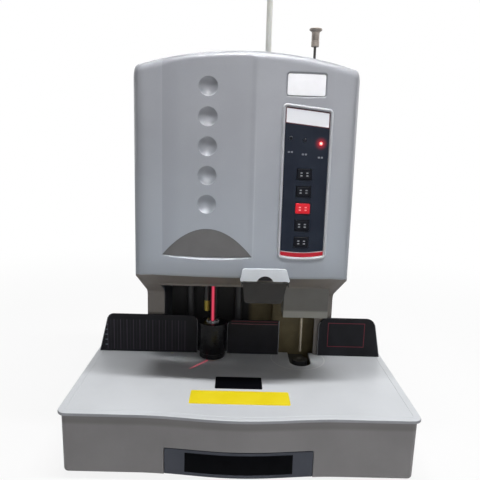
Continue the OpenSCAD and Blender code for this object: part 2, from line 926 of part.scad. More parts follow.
ring_h = 7;
ring_step = 1.5;
presser_bore_gap = 2;
module presser_foot() {
    r = presser_d / 2;
    bore = spindle_d / 2 + presser_bore_gap;
    edge = 1.5;
    color("#1a1a1c") translate([drill_x, y_station, presser_low]) rotate_extrude($fn = 96) polygon([
        [bore, 0], [r - ring_step - edge, 0], [r - ring_step, edge], [r - ring_step, ring_h],
        [r, ring_h + edge], [r, presser_h - edge], [r - edge, presser_h], [bore, presser_h]]);
}

collar_low = carriage_low + spring_ledge + pass_gap;
collar_top = collar_low + presser_collar_h;
module presser_rod() {
    y = y_station + presser_rod_back;
    color("#c3c6ca") {
        bar(drill_x, y, presser_top, collar_low + eps, presser_rod_d);
        bar(drill_x, y, collar_low, collar_top, presser_collar_d);
    }
}

// One unbroken wound tube: rings of points along a helix, joined side to side
wire_sides = 6;
rings_per_turn = 8;
function helix_point(t, r, low, pitch) = [r * cos(360 * t), r * sin(360 * t), low + pitch * t];
module wound_spring(r, wire_r, low, high, turns) {
    pitch = (high - low - 2 * wire_r) / turns;
    rings = turns * rings_per_turn;
    points = [for (i = [0:rings], k = [0:wire_sides - 1])
        let (t = i / rings_per_turn, c = helix_point(t, r, low + wire_r, pitch), a = 360 * k / wire_sides)
        c + wire_r * [cos(a) * cos(360 * t), cos(a) * sin(360 * t), sin(a)]];
    sides = [for (i = [0:rings - 1], k = [0:wire_sides - 1])
        let (n = (k + 1) % wire_sides, a = i * wire_sides, b = a + wire_sides)
        each [[a + k, b + k, b + n], [a + k, b + n, a + n]]];
    ends = [for (k = [1:wire_sides - 2])
        each [[0, k, k + 1], [rings * wire_sides, rings * wire_sides + k + 1, rings * wire_sides + k]]];
    echo(least_gap = pitch - 2 * wire_r);
    polyhedron(points, concat(sides, ends));
}

spring_gap = 0.1;
module presser_spring() {
    color("#8a8d92") translate([drill_x, y_station + presser_rod_back, 0])
        wound_spring((spring_d - spring_wire) / 2, spring_wire / 2, collar_top + spring_gap,
            carriage_top - spring_gap, spring_turns);
}

module laser_module() {
    x = drill_x + laser_dx;
    y = y_station + laser_back;
    color("#c9a23a") difference() {
        bar(x, y, carriage_low - laser_l, carriage_low, laser_d);
        bar(x, y, carriage_low - laser_l - 1, carriage_low - laser_l + 2, laser_d / 3);
    }
}

// Rivet station
rivet_frame_reach = 30.5;
rivet_frame_left = rivet_x - rivet_frame_reach;
rivet_frame_right = rivet_x + rivet_rod_span + rivet_rod_d / 2 + rod_wall;
module rivet_bracket() {
    color("#8d9095") difference() {
        block([rivet_frame_left, y_rivet_front, bracket_low],
            [rivet_frame_right, y_post, bracket_low + bracket_h]);
        bar(rivet_x, y_station, bracket_low - 1, bracket_low + bracket_h + 1, ram_d + 2 * run_gap);
    }
}

module rivet_screw() {
    color("#9da0a4")
        bar(rivet_x, y_rivet_rods, bracket_low + bracket_h + pass_gap,
            z_bridge + bridge_t - pass_gap, screw_d);
}

module rivet_carriage() {
    low = rivet_block_low;
    top = rivet_block_low + rivet_block_h;
    color("#7f8388") difference() {
        block([rivet_frame_left + 2, y_rivet_front, low],
            [rivet_frame_right, y_rivet_rods + rod_block_half, top]);
        for (sx = [-1, 1])
            bar(rivet_x + sx * rivet_rod_span, y_rivet_rods, low - 1, top + 1, rivet_rod_d + 2 * run_gap);
        bar(rivet_x, y_rivet_rods, low - 1, top + 1, screw_d + 2 * run_gap);
        bar(rivet_x, y_station, low - 1, top + 1, pin_d + 2 * run_gap);
    }
}

module rivet_ram() {
    color("#c3c6ca") difference() {
        bar(rivet_x, y_station, ram_low + ram_head_h, rivet_block_low, ram_d);
        bar(rivet_x, y_station, ram_low, rivet_block_low + 1, pin_d + 2 * run_gap);
    }
}

module rivet_head() {
    color("#26272b") difference() {
        bar(rivet_x, y_station, ram_low, ram_low + ram_head_h, ram_d);
        bar(rivet_x, y_station, ram_low - 1, ram_low + ram_head_h + 1, pin_d + 2 * run_gap);
    }
}

pin_top = z_table + knob_z - knob_t;
module centring_pin() {
    color("#d3d5d8") bar(rivet_x, y_station, pin_low, pin_top, pin_d);
}

knob_grip_gap = 0.02;
module pin_knob() {
    color("#9c8f86") difference() {
        union() {
            bar(rivet_x, y_station, pin_top - knob_sleeve_h, pin_top + eps, knob_sleeve_d);
            bar(rivet_x, y_station, pin_top, pin_top + knob_t, knob_d);
        }
        bar(rivet_x, y_station, pin_top - knob_sleeve_h - 1, pin_top, pin_d + 2 * knob_grip_gap);
    }
}

die_arm_h = 14;
die_low = die_top - die_h;
module die_arm() {
    color("#8d9095")
        block([rivet_x - die_d / 2, y_station - die_d / 2, die_low - die_arm_h],
            [rivet_x + die_d / 2, y_post, die_low]);
}

die_cup_d = 9;
module lower_die() {
    color("#3c3d40") difference() {
        bar(rivet_x, y_station, die_low, die_top, die_d);
        bar(rivet_x, y_station, die_top - 2, die_top + 1, die_cup_d);
    }
}

// Tube feed
module rivet_tube() {
    color("#f1f1ec") difference() {
        bar(tube_x, y_tube, tube_end, z_table + tube_top, tube_d);
        bar(tube_x, y_tube, tube_end - 1, z_table + tube_top + 1, tube_bore);
    }
}

feed_half_w = 28;
roller_dx = tube_d / 2 + pass_gap + roller_r;
module feed_bracket() {
    color("#b9bcc0") difference() {
        block([tube_x - feed_half_w, y_feed, guide_low], [tube_x + feed_half_w, y_feed + feed_t, z_bridge]);
        for (sx = [-1, 1])
            along_y(y_feed - 1, y_feed + feed_t + 1) translate([tube_x + sx * roller_dx, roller_z])
                circle(d = roller_shaft_d + 2 * run_gap);
    }
}

module grip_roller(side) {
    color("#4a4038") translate([tube_x + side * roller_dx, 0, roller_z]) {
        along_y(y_tube - roller_w / 2, y_tube + roller_w / 2) circle(r = roller_r);
        along_y(y_tube, y_feed + feed_t - pass_gap) circle(d = roller_shaft_d);
    }
}

feed_motor_w = 30;
feed_motor_l = 34;
module feed_motor() {
    x = tube_x + roller_dx;
    color("#33353a")
        block([x - feed_motor_w / 2, y_feed + feed_t, roller_z - feed_motor_w / 2],
            [x + feed_motor_w / 2, y_feed + feed_t + feed_motor_l, roller_z + feed_motor_w / 2]);
}

guide_half_w = 14;
guide_reach = 9.5;
tube_guide_gap = 0.1;
module tube_guide() {
    color("#e4e2da") difference() {
        block([tube_x - guide_half_w, y_tube - guide_reach, guide_low],
            [tube_x + guide_half_w, y_feed, guide_low + guide_h]);
        bar(tube_x, y_tube, guide_low - 1, guide_low + guide_h + 1, tube_d + 2 * tube_guide_gap);
    }
}

blade_l = 27;
blade_half_w = 7.5;
blade_edge = 3;
module cutter_blade() {
    tip = tube_x - tube_d / 2 - 1;
    low = guide_low - pass_gap - blade_t;
    color("#cfd2d6") upright(low, low + blade_t) polygon([
        [tip - blade_l, y_tube - blade_half_w], [tip - blade_edge, y_tube - blade_half_w],
        [tip, y_tube + blade_half_w], [tip - blade_l, y_tube + blade_half_w]]);
}

// Chip drawer
tray_low = z_floor + pass_gap;
tray_top = drawer_top - 2.5;
module drawer_tray() {
    back = tray_front + tray_l;
    color("#8f9296") difference() {
        block([-tray_half, tray_front, tray_low], [tray_half, back, tray_top]);
        block([-tray_half + tray_wall, tray_front + tray_wall, tray_low + tray_wall],
            [tray_half - tray_wall, back - tray_wall, tray_top + 1]);
    }
}

module drawer_front() {
    half = drawer_w / 2 - panel_gap;
    color("#94979b") intersection() {
        upright(z_floor + panel_gap, drawer_top - panel_gap) table_plan(table_lip);
        block([-half, y_front - 1, 0], [half, tray_front, far]);
    }
}

// Electrics
board_left = -80;
board_w = 140;
board_lift = 40;
board_low = z_table + board_lift;
board_h = 140;
standoff = 5;
post_d = 6;
transformer = [45, 32, 38];
transformer_at = [15, 20];
capacitor_d = 16;
capacitor_l = 25;
capacitor_at = [85, 40];
capacitor_pitch = 20;
module power_board() {
    y_plate = y_frame + plate_t;
    y_pcb = y_plate + standoff;
    color("#2f6b3c")
        block([board_left, y_pcb, board_low], [board_left + board_w, y_pcb + board_t, board_low + board_h]);
    color("#c8c8c8")
        for (x = [board_left + post_d, board_left + board_w - post_d],
                z = [board_low + post_d, board_low + board_h - post_d])
            along_y(y_plate, y_pcb) translate([x, z]) circle(d = post_d);
    color("#b58a3a")
        translate([board_left + transformer_at.x, y_pcb + board_t, board_low + transformer_at.y])
            cube(transformer);
    color("#303540")
        for (i = [0:2])
            along_y(y_pcb + board_t, y_pcb + board_t + capacitor_l)
                translate([board_left + capacitor_at.x + capacitor_pitch * i, board_low + capacitor_at.y])
                    circle(d = capacitor_d);
}

inlet_flange = 3;
inlet_flange_t = 2;
inlet_deep = 20;
socket_left = inlet_x - 5;
socket_w = 28;
socket_h = 16;
socket_deep = 14;
blade_pitch = 7;
y_rocker = y_rear - table_lip - 4;
module power_inlet() {
    face = y_rear - table_lip;
    lip = face + inlet_flange_t;
    color("#1b1c1f") difference() {
        union() {
            block([inlet_x - inlet_w / 2, face - inlet_deep, inlet_z - inlet_h / 2],
                [inlet_x + inlet_w / 2, face + eps, inlet_z + inlet_h / 2]);
            block([inlet_x - inlet_w / 2 - inlet_flange, face, inlet_z - inlet_h / 2 - inlet_flange],
                [inlet_x + inlet_w / 2 + inlet_flange, lip, inlet_z + inlet_h / 2 + inlet_flange]);
        }
        block([rocker_x - rocker_w / 2 - panel_gap, face - 12, inlet_z - rocker_h / 2 - panel_gap],
            [rocker_x + rocker_w / 2 + panel_gap, lip + 1, inlet_z + rocker_h / 2 + panel_gap]);
        along_x(rocker_x - rocker_w / 2 - 3, rocker_x + rocker_w / 2 + 3)
            translate([y_rocker, inlet_z]) circle(d = rocker_pin_d + 2 * run_gap);
        block([socket_left, lip - socket_deep, inlet_z - socket_h / 2],
            [socket_left + socket_w, lip + 1, inlet_z + socket_h / 2]);
    }
    color("#c9c9c4")
        for (i = [-1:1])
            translate([socket_left + socket_w / 2 + i * blade_pitch - 1, lip - socket_deep - 1, inlet_z - 6])
                cube([2, socket_deep - 2, 4]);
}

rocker_tilt = 8;
rocker_deep = 5;
module power_switch() {
    color("#101114") translate([0, y_rocker, inlet_z]) rotate([rocker_tilt, 0, 0]) {
        along_x(rocker_x - rocker_w / 2, rocker_x + rocker_w / 2) polygon([
            [-rocker_deep, -rocker_h / 4], [rocker_deep, -rocker_h / 2 + 1], [rocker_deep - 1.2, 0],
            [rocker_deep, rocker_h / 2 - 1], [-rocker_deep, rocker_h / 4]]);
        along_x(rocker_x - rocker_w / 2 - 2, rocker_x + rocker_w / 2 + 2) circle(d = rocker_pin_d);
    }
}

screw_head_d = 8;
screw_head_t = 1.8;
module cover_screws() {
    spots = [[y_back - 15, z_table + 25], [y_leg + 20, z_table + 25], [y_back - 15, z_roof - 60],
        [y_split + 18, z_roof - 60], [y_split - 18, z_roof - 60]];
    color("#55585c")
        for (sx = [-1, 1], spot = spots)
            translate([head_x, 0, 0]) mirror([sx < 0 ? 1 : 0, 0, 0])
                along_x(head_half, head_half + screw_head_t) translate(spot) circle(d = screw_head_d);
}

rubber_feet();
base_plate();
base_shell();
table_top();
drill_pad();
left_fence();
middle_fence();
right_fence();
rear_cover();
front_cover();
half_moon_inlay();
name_plate();
panel_bezel();
panel_overlay();
panel_board();
status_lamps();
push_button(0);  // button_1
push_button(1);  // button_2
push_button(2);  // button_3
push_button(3);  // button_4
push_button(4);  // button_5
rivet_cover();
outlet_cowl();
smoked_guard();
column_frame();
top_bridge();
rod_block();
guide_rods();
stepper_motors();
lift_screw();
drill_carriage();
drill_motor();
spindle();
drill_bit();
presser_foot();
presser_rod();
presser_spring();
laser_module();
rivet_bracket();
rivet_screw();
rivet_carriage();
rivet_ram();
rivet_head();
centring_pin();
pin_knob();
die_arm();
lower_die();
rivet_tube();
feed_bracket();
grip_roller(1);  // feed_roller
grip_roller(-1);  // pinch_roller
feed_motor();
tube_guide();
cutter_blade();
drawer_tray();
drawer_front();
power_board();
power_inlet();
power_switch();
cover_screws();
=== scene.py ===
import json
import math

import bpy
from mathutils import Matrix, Vector


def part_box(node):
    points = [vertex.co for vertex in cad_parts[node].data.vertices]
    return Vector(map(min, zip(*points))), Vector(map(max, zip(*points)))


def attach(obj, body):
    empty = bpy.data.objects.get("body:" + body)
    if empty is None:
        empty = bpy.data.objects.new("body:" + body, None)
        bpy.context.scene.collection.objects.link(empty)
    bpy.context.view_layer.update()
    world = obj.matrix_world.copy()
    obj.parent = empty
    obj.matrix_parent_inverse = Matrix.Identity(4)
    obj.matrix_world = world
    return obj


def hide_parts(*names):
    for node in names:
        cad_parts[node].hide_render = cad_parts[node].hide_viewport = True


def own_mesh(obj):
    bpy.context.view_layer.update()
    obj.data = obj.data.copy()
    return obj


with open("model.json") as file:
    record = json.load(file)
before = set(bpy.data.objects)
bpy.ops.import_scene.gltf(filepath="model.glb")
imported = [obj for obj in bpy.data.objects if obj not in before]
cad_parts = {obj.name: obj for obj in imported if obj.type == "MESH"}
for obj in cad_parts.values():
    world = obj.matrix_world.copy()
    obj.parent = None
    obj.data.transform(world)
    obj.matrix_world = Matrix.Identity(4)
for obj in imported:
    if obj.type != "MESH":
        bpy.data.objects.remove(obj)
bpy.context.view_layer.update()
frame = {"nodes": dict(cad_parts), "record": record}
nodes = frame["nodes"]
bodyOf = {n: body for body, members in frame["record"]["behaviour"]["bodies"].items() for n in members}
scene = bpy.context.scene
mm = 0.001  # every size below is in millimetres, apart from the lamps and the floor
axisGap = 0.02  # keeps a turned outline just off its axis
print("frame loaded:", len(nodes), "nodes")


def boxOf(node):
    low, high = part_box(node)
    return low / mm, high / mm


# Modelling helpers
def selectNone():
    bpy.ops.object.select_all(action="DESELECT")


def selectOnly(piece):
    if bpy.context.object and bpy.context.object.mode != "OBJECT":
        bpy.ops.object.mode_set(mode="OBJECT")
    selectNone()
    piece.select_set(True)
    bpy.context.view_layer.objects.active = piece


def editAll(piece):
    selectOnly(piece)
    bpy.ops.object.mode_set(mode="EDIT")
    bpy.ops.mesh.select_all(action="SELECT")


def leaveEdit():
    bpy.ops.object.mode_set(mode="OBJECT")


def named(name):
    piece = bpy.context.object
    piece.name = name
    piece.data.name = name
    return piece


# The primitive just added keeps its place in its mesh
def settled(name):
    bpy.ops.object.transform_apply(location=True, rotation=True, scale=True)
    return named(name)


def applyModifier(piece, kind, **settings):
    selectOnly(piece)
    modifier = piece.modifiers.new(kind.lower(), kind)
    for key, value in settings.items():
        setattr(modifier, key, value)
    bpy.ops.object.modifier_apply(modifier=modifier.name)
    return piece


def smooth(piece, angle=35):
    selectOnly(piece)
    bpy.ops.object.shade_smooth_by_angle(angle=math.radians(angle))
    return piece


# Flat faces stay flat beside their rounded edges
def even(piece, angle=35):
    smooth(piece, angle)
    return applyModifier(piece, "WEIGHTED_NORMAL", keep_sharp=True, weight=80)


def roundEdges(piece, width, segments=3, angle=40):
    return applyModifier(piece, "BEVEL", width=width * mm, segments=segments, limit_method="ANGLE",
                         angle_limit=math.radians(angle), use_clamp_overlap=True)


# Bevel only the edges whose two ends pass the test
def roundSome(piece, test, width, segments=5):
    editAll(piece)
    bpy.ops.mesh.select_mode(type="EDGE")
    bpy.ops.mesh.select_all(action="DESELECT")
    leaveEdit()
    points = [vertex.co / mm for vertex in piece.data.vertices]
    for edge in piece.data.edges:
        edge.select = test(*[points[i] for i in edge.vertices])
    bpy.ops.object.mode_set(mode="EDIT")
    bpy.ops.mesh.bevel(offset=width * mm, segments=segments)
    bpy.ops.mesh.select_mode(type="VERT")
    leaveEdit()
    return piece


def carve(piece, cutter, operation="DIFFERENCE"):
    applyModifier(piece, "BOOLEAN", object=cutter, operation=operation, solver="EXACT")
    bpy.data.objects.remove(cutter)
    return piece


def joined(pieces, name):
    selectOnly(pieces[0])
    for piece in pieces[1:]:
        piece.select_set(True)
    bpy.ops.object.join()
    return named(name)


def outward(piece):
    editAll(piece)
    bpy.ops.mesh.remove_doubles(threshold=0.001 * mm)
    bpy.ops.mesh.normals_make_consistent(inside=False)
    leaveEdit()
    return piece


# The first section's face is extruded from section to section into a closed solid
def loft(name, sections, ends="NGON"):
    selectNone()
    bpy.ops.mesh.primitive_circle_add(vertices=len(sections[0]), fill_type=ends)
    piece = named(name)
    for vertex, point in zip(piece.data.vertices, sections[0]):
        vertex.co = Vector(point) * mm
    editAll(piece)
    for before, after in zip(sections, sections[1:]):
        bpy.ops.mesh.extrude_region_move(TRANSFORM_OT_translate={"value": (0, 0, 0)})
        leaveEdit()
        stay = [Vector(point) * mm for point in before]
        for vertex in piece.data.vertices:
            if vertex.select:
                nearest = min(range(len(stay)), key=lambda k: (stay[k] - vertex.co).length_squared)
                vertex.co = Vector(after[nearest]) * mm
        bpy.ops.object.mode_set(mode="EDIT")
    leaveEdit()
    return outward(piece)


# A closed outline of (radius, height) points turned round an upright axis
def lathe(name, outline, centre, steps=64):
    selectNone()
    bpy.ops.mesh.primitive_circle_add(vertices=len(outline), fill_type="NOTHING")
    piece = named(name)
    for vertex, (radius, height) in zip(piece.data.vertices, outline):
        vertex.co = Vector((radius, 0, height)) * mm
    editAll(piece)
    bpy.ops.mesh.spin(steps=steps, angle=math.tau, center=(0, 0, 0), axis=(0, 0, 1))
    leaveEdit()
    piece.data.transform(Matrix.Translation(Vector((centre[0], centre[1], 0)) * mm))
    return outward(piece)


def box(name, low, high):
    selectNone()
    middle = (Vector(low) + Vector(high)) / 2 * mm
    bpy.ops.mesh.primitive_cube_add(size=1, location=middle, scale=(Vector(high) - Vector(low)) * mm)
    return settled(name)


def rod(name, centre, radius, depth, axis="Z", sides=48):
    turn = (math.pi / 2, 0, 0) if axis == "Y" else (0, 0, 0)
    selectNone()
    bpy.ops.mesh.primitive_cylinder_add(vertices=sides, radius=radius * mm, depth=depth * mm,
                                        location=Vector(centre) * mm, rotation=turn)
    return settled(name)


def arc(centre, radius, start, end, steps):
    angles = [math.radians(start + (end - start) * i / steps) for i in range(steps + 1)]
    return [(centre[0] + radius * math.cos(a), centre[1] + radius * math.sin(a)) for a in angles]


def roundRect(low, high, r, steps=5):
    left, right, foot, top = low[0] + r, high[0] - r, low[1] + r, high[1] - r
    outline = arc((left, foot), r, 180, 270, steps) + arc((right, foot), r, 270, 360, steps)
    return outline + arc((right, top), r, 0, 90, steps) + arc((left, top), r, 90, 180, steps)


def fit(piece, node, *others):
    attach(piece, bodyOf[node])
    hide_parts(node, *others)
    return piece


def trim(piece, node):
    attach(piece, bodyOf[node])
    return piece


# A copy of a CAD node's own shape with its facets merged
def cleanCopy(node):
    piece = bpy.data.objects.new(node + "_skin", nodes[node].data.copy())
    scene.collection.objects.link(piece)
    piece.data.materials.clear()
    editAll(piece)
    bpy.ops.mesh.remove_doubles(threshold=0.01 * mm)
    bpy.ops.mesh.dissolve_limited(angle_limit=math.radians(0.4))
    leaveEdit()
    return piece


def dressed(node, width=0.5, segments=2, angle=40):
    return fit(even(roundEdges(cleanCopy(node), width, segments, angle)), node)


def paint(piece, *skins):
    piece.data.materials.clear()
    for skin in skins:
        piece.data.materials.append(skin.material)
    return piece


# Shader maths: a wire is a socket that can be added, scaled and compared
class Wire:
    def __init__(self, tree, socket=None):
        self.tree = tree
        self.socket = socket

    def node(self, kind, settings=None, inputs=None, out=0):
        made = self.tree.nodes.new(kind)
        for key, value in (settings or {}).items():
            setattr(made, key, value)
        for key, value in (inputs or {}).items():
            if isinstance(value, Wire):
                self.tree.links.new(value.socket, made.inputs[key])
            else:
                made.inputs[key].default_value = value
        return Wire(self.tree, made.outputs[out])

    def math(self, operation, first, second=0.0):
        return self.node("ShaderNodeMath", {"operation": operation}, {0: first, 1: second})

    def __add__(self, other):
        return self.math("ADD", self, other)

    def __sub__(self, other):
        return self.math("SUBTRACT", self, other)

    def __rsub__(self, other):
        return self.math("SUBTRACT", other, self)

    def __mul__(self, other):
        return self.math("MULTIPLY", self, other)

    def __gt__(self, other):
        return self.math("GREATER_THAN", self, other)

    def __lt__(self, other):
        return self.math("LESS_THAN", self, other)

    def __abs__(self):
        return self.math("ABSOLUTE", self)

    def __mod__(self, other):
        return self.math("FLOORED_MODULO", self, other)

    __radd__ = __add__
    __rmul__ = __mul__

    def within(self, low, high):
        return (self > low) * (self < high)

    def far(self, other):
        return self.math("SQRT", self * self + other * other)

    def noise(self, size, detail=2.0):
        inputs = {"Vector": self, "Scale": 1 / (size * mm), "Detail": detail}
        return self.node("ShaderNodeTexNoise", None, inputs, "Fac")

    def stretched(self, amounts):
        return self.node("ShaderNodeVectorMath", {"operation": "MULTIPLY"}, {0: self, 1: amounts})

    def blend(self, first, second):
        return self.node("ShaderNodeMix", {"data_type": "RGBA"}, {0: self, 6: first, 7: second}, 2)

    def ramp(self, low, high):
        inputs = {"Value": self, "From Min": low, "From Max": high}
        return self.node("ShaderNodeMapRange", {"interpolation_type": "SMOOTHSTEP"}, inputs)

    def axes(self):
        parts = self.node("ShaderNodeSeparateXYZ", None, {0: self}).socket.node.outputs
        return [Wire(self.tree, part) * (1 / mm) for part in parts]


def colour(text):
    parts = [int(text[i:i + 2], 16) / 255 for i in (1, 3, 5)]
    return tuple(c / 12.92 if c < 0.04045 else ((c + 0.055) / 1.055) ** 2.4 for c in parts) + (1.0,)


class Finish:
    def __init__(self, name, roughness, metallic=0.0, **fixed):
        self.material = bpy.data.materials.new(name)
        self.material.use_nodes = True
        self.tree = self.material.node_tree
        self.shader = self.tree.nodes["Principled BSDF"]
        self.spot = Wire(self.tree).node("ShaderNodeTexCoord", out="Object")
        self.set("Roughness", roughness)
        self.set("Metallic", metallic)
        for key, value in fixed.items():
            self.set(key.replace("_", " "), value)

    def set(self, socket, value):
        if isinstance(value, Wire):
            self.tree.links.new(value.socket, self.shader.inputs[socket])
        else:
            self.shader.inputs[socket].default_value = value

    def lay(self, base):
        self.base = base
        self.set("Base Color", base)

    # Another colour over the finish where the mask is 1
    def over(self, mask, text):
        self.lay(mask.blend(self.base, colour(text)))

    # Light of the surface's own where the mask is 1
    def glow(self, mask, text, strength=1.0):
        self.set("Emission Color", mask.blend((0, 0, 0, 1), colour(text)))
        self.set("Emission Strength", strength)

    def grain(self, size, depth, strength=1.0, stretch=None):
        spot = self.spot.stretched(stretch) if stretch else self.spot
        height = spot.noise(size, 3.0)
        inputs = {"Height": height, "Distance": depth * mm, "Strength": strength}
        self.set("Normal", spot.node("ShaderNodeBump", None, inputs, "Normal"))
        return height


# Plain moulded or painted surface: soft patches of tone, fine grain and a little scatter of gloss
def coated(name, dark, light, roughness, grain=(0.7, 0.02), patch=60, metallic=0.0, shine=0.5, **fixed):
    skin = Finish(name, roughness, metallic, Specular_IOR_Level=shine, **fixed)
    patches = skin.spot.noise(patch, 4.0)
    fine = skin.grain(*grain)
    tone = patches * 0.75 + fine * 0.25
    skin.lay(tone.ramp(0.3, 0.7).blend(colour(dark), colour(light)))
    skin.set("Roughness", roughness + (patches - 0.5) * 0.16 + (fine - 0.5) * 0.1)
    return skin


# Bare metal: brushed along one direction, with faint handling marks
def metal(name, dark, light, roughness, stretch, metallic=1.0, shine=0.5):
    skin = Finish(name, roughness, metallic, Specular_IOR_Level=shine)
    streaks = skin.grain(0.8, 0.012, 0.6, stretch)
    marks = skin.spot.noise(14, 4.0)
    skin.lay((streaks * 0.6 + marks * 0.4).ramp(0.3, 0.7).blend(colour(dark), colour(light)))
    skin.set("Roughness", roughness + (streaks - 0.5) * 0.2 + (marks - 0.5) * 0.15)
    return skin


print("helpers ready")

# Table and base
tableLow, tableHigh = boxOf("table_top")
table = {"corner": 11, "bow": 8.5, "bowHalf": 115, "lip": 4, "wall": 3, "flange": 5.2, "floor": 2,
         "footRound": 4, "draft": 0.8, "lowEdge": ((1, 0), (0.3, 0.3), (0, 1)),
         "topEdge": ((0, 1.4), (0.35, 0.5), (1.2, 0)), "ridgeInset": 7.5,
         "ridge": ((0, 0), (0.5, 0.35), (1.1, 0.35), (1.6, 0)), "slot": (84.5, -12.5, 15),
         "ring": (82, -1.5, 37.5), "ringHalf": 0.7, "well": ((-107, 20), (116, 130)), "padGap": 0.05,
         "panelGap": 0.6, "inlet": ((74.7, 150, 21.7), (135.3, 180, 42.3)),
         "laser": ((-44, -14), (-67, -44))}


def tableFinish():
    skin = coated("tablePaint", "#cfd2d6", "#d8dbdf", 0.4, (0.9, 0.02), 90, shine=0.3)
    x, y, z = skin.spot.axes()
    across, ahead, radius = table["ring"]
    ring = abs((x - across).far(y - ahead) - radius) < table["ringHalf"]
    skin.over(ring * 0.6, "#f8f8f8")
    scuffs = skin.spot.stretched((1, 9, 1)).noise(5, 4.0)
    skin.over(scuffs.ramp(0.66, 0.78) * 0.3, "#aeb1b5")
    # Painted light: the red line that the pointing laser throws on the table, laid in as the table's own
    # glow
    start, end = (Vector(point) for point in table["laser"])
    reach = (end - start).length
    way = (end - start) / reach
    along = (x - start.x) * way.x + (y - start.y) * way.y
    aside = abs((x - start.x) * way.y - (y - start.y) * way.x)
    fade = 1 - along.ramp(reach * 0.6, reach) * 0.6
    skin.glow((1 - aside.ramp(0.3, 1.7)) * along.within(0, reach) * fade, "#e84a62", 0.85)
    return skin


# Painted shade: the base is painted darker in a band under the table's lip, and a painted shadow darkens the
# gap right under the table
def baseFinish():
    skin = coated("baseGrey", "#838182", "#8c8a8b", 0.5, (0.8, 0.03), 60, shine=0.3)
    z = skin.spot.axes()[2]
    skin.over(z.ramp(tableLow.z - 13, tableLow.z - 8) * 0.4, "#565250")
    skin.over(z.ramp(tableLow.z - 2, tableLow.z - 0.8) * 0.8, "#1e1c1c")
    return skin


# The table's upright edge faces are painted grey, its top near white
def edged(piece):
    for face in piece.data.polygons:
        if abs(face.normal.z) < 0.75 and face.center.z / mm < tableHigh.z - 0.2:
            face.material_index = 1
    return piece


def bow(x):
    if abs(x) >= table["bowHalf"]:
        return 0
    return table["bow"] * (1 + math.cos(math.pi * x / table["bowHalf"])) / 2


def tablePlan(inset, z):
    half = tableHigh.x - inset
    r = table["corner"] - inset
    front = tableLow.y + table["bow"] + inset
    rear = tableHigh.y - inset
    xs = [table["bowHalf"] * (i / 14 - 1) for i in range(29)]
    flat = arc((r - half, front + r), r, 180, 270, 6) + [(x, front - bow(x)) for x in xs]
    flat += arc((half - r, front + r), r, 270, 360, 6) + arc((half - r, rear - r), r, 0, 90, 6)
    return [(x, y, z) for x, y in flat + arc((r - half, rear - r), r, 90, 180, 6)]


def tablePlate():
    low, top = tableLow.z, tableHigh.z
    steps = [(inset, low + up) for inset, up in table["lowEdge"]]
    steps += [(inset, top - down) for inset, down in table["topEdge"]]
    steps += [(table["ridgeInset"] + inset, top + up) for inset, up in table["ridge"]]
    slab = loft("table_plate", [tablePlan(inset, z) for inset, z in steps])
    x, y, r = table["slot"]
    wellLow, wellHigh = table["well"]
    carve(slab, rod("cut", (x, y, top), r, 20))
    carve(slab, box("cut", (x - r, y, low - 1), (x + r, wellLow[1] + 1, top + 2)))
    carve(slab, box("cut", (*wellLow, low - 1), (*wellHigh, top + 2)))
    padLow, padHigh = boxOf("drill_pad")
    middle = (padLow + padHigh) / 2
    carve(slab, rod("cut", (middle.x, middle.y, top), (padHigh.x - padLow.x) / 2 + table["padGap"], 20))
    return fit(even(slab, 30), "table_top")


def baseShell():
    low, top = (corner.z for corner in boxOf("base_shell"))
    lip, r = table["lip"], table["footRound"]
    inner = lip + table["draft"] + r
    turns = [math.radians(15 * i) for i in range(7)]
    foot = [(inner - r * math.sin(a), low + r * (1 - math.cos(a))) for a in turns]
    shell = loft("base_casing", [tablePlan(inset, z) for inset, z in foot + [(lip, top)]])
    flange, wall = lip + table["flange"], lip + table["wall"]
    seat = low + table["floor"]
    hollow = [(flange, low - 1), (flange, seat), (wall, seat + 0.5), (wall, top + 1)]
    carve(shell, loft("cut", [tablePlan(inset, z) for inset, z in hollow]))
    drawerLow, drawerHigh = boxOf("drawer_front")
    gap = table["panelGap"]
    carve(shell, box("cut", (drawerLow.x - gap, tableLow.y - 5, low - 2),
                     (drawerHigh.x + gap, tableLow.y + 40, drawerHigh.z + gap)))
    carve(shell, box("cut", *table["inlet"]))
    return fit(even(shell, 30), "base_shell")


def drawerLine(x):
    return tableLow.y + table["bow"] + table["lip"] - bow(x)


drawer = {"edge": 1.2, "nick": 0.35}


def drawerFace():
    low, high = boxOf("drawer_front")
    edge, nick = drawer["edge"], drawer["nick"]
    ends = [(high.x, edge), (high.x - nick, nick), (high.x - edge, 0)]
    middle = [(high.x - edge) * (1 - i / 10) for i in range(1, 20)]
    stations = ends + [(x, 0) for x in middle] + [(-x, back) for x, back in reversed(ends)]
    sections = []
    for x, back in stations:
        front = drawerLine(x) + back
        shape = [(high.y, low.z), (front + edge, low.z), (front + nick, low.z + nick), (front, low.z + edge)]
        shape += [(front, high.z - edge), (front + nick, high.z - nick), (front + edge, high.z)]
        shape += [(high.y, high.z)]
        sections.append([(x, y, z) for y, z in shape])
    return fit(even(loft("drawer_face", sections), 30), "drawer_front")


label = {"half": 61, "low": 12.5, "high": 36, "proud": 0.5, "thick": 1, "edge": 0.2}


def drawerLabel():
    low, high = label["low"], label["high"]
    sections = []
    for i in range(25):
        x = label["half"] * (i / 12 - 1)
        front = drawerLine(x) - label["proud"]
        back = front + label["thick"]
        shape = [(back, low), (front, low), (front, high), (back, high)]
        sections.append([(x, y, z) for y, z in shape])
    piece = roundEdges(loft("drawer_label", sections), label["edge"], 2)
    return trim(smooth(piece, 30), "drawer_front")


stickers = {"yellow_sticker": ((-59.6, -138.5), (59.4, -105.5)),
            "black_sticker": ((-31, -99.5), (28, -66.5))}
film = {"thick": 0.3, "corner": 2, "edge": 0.1}


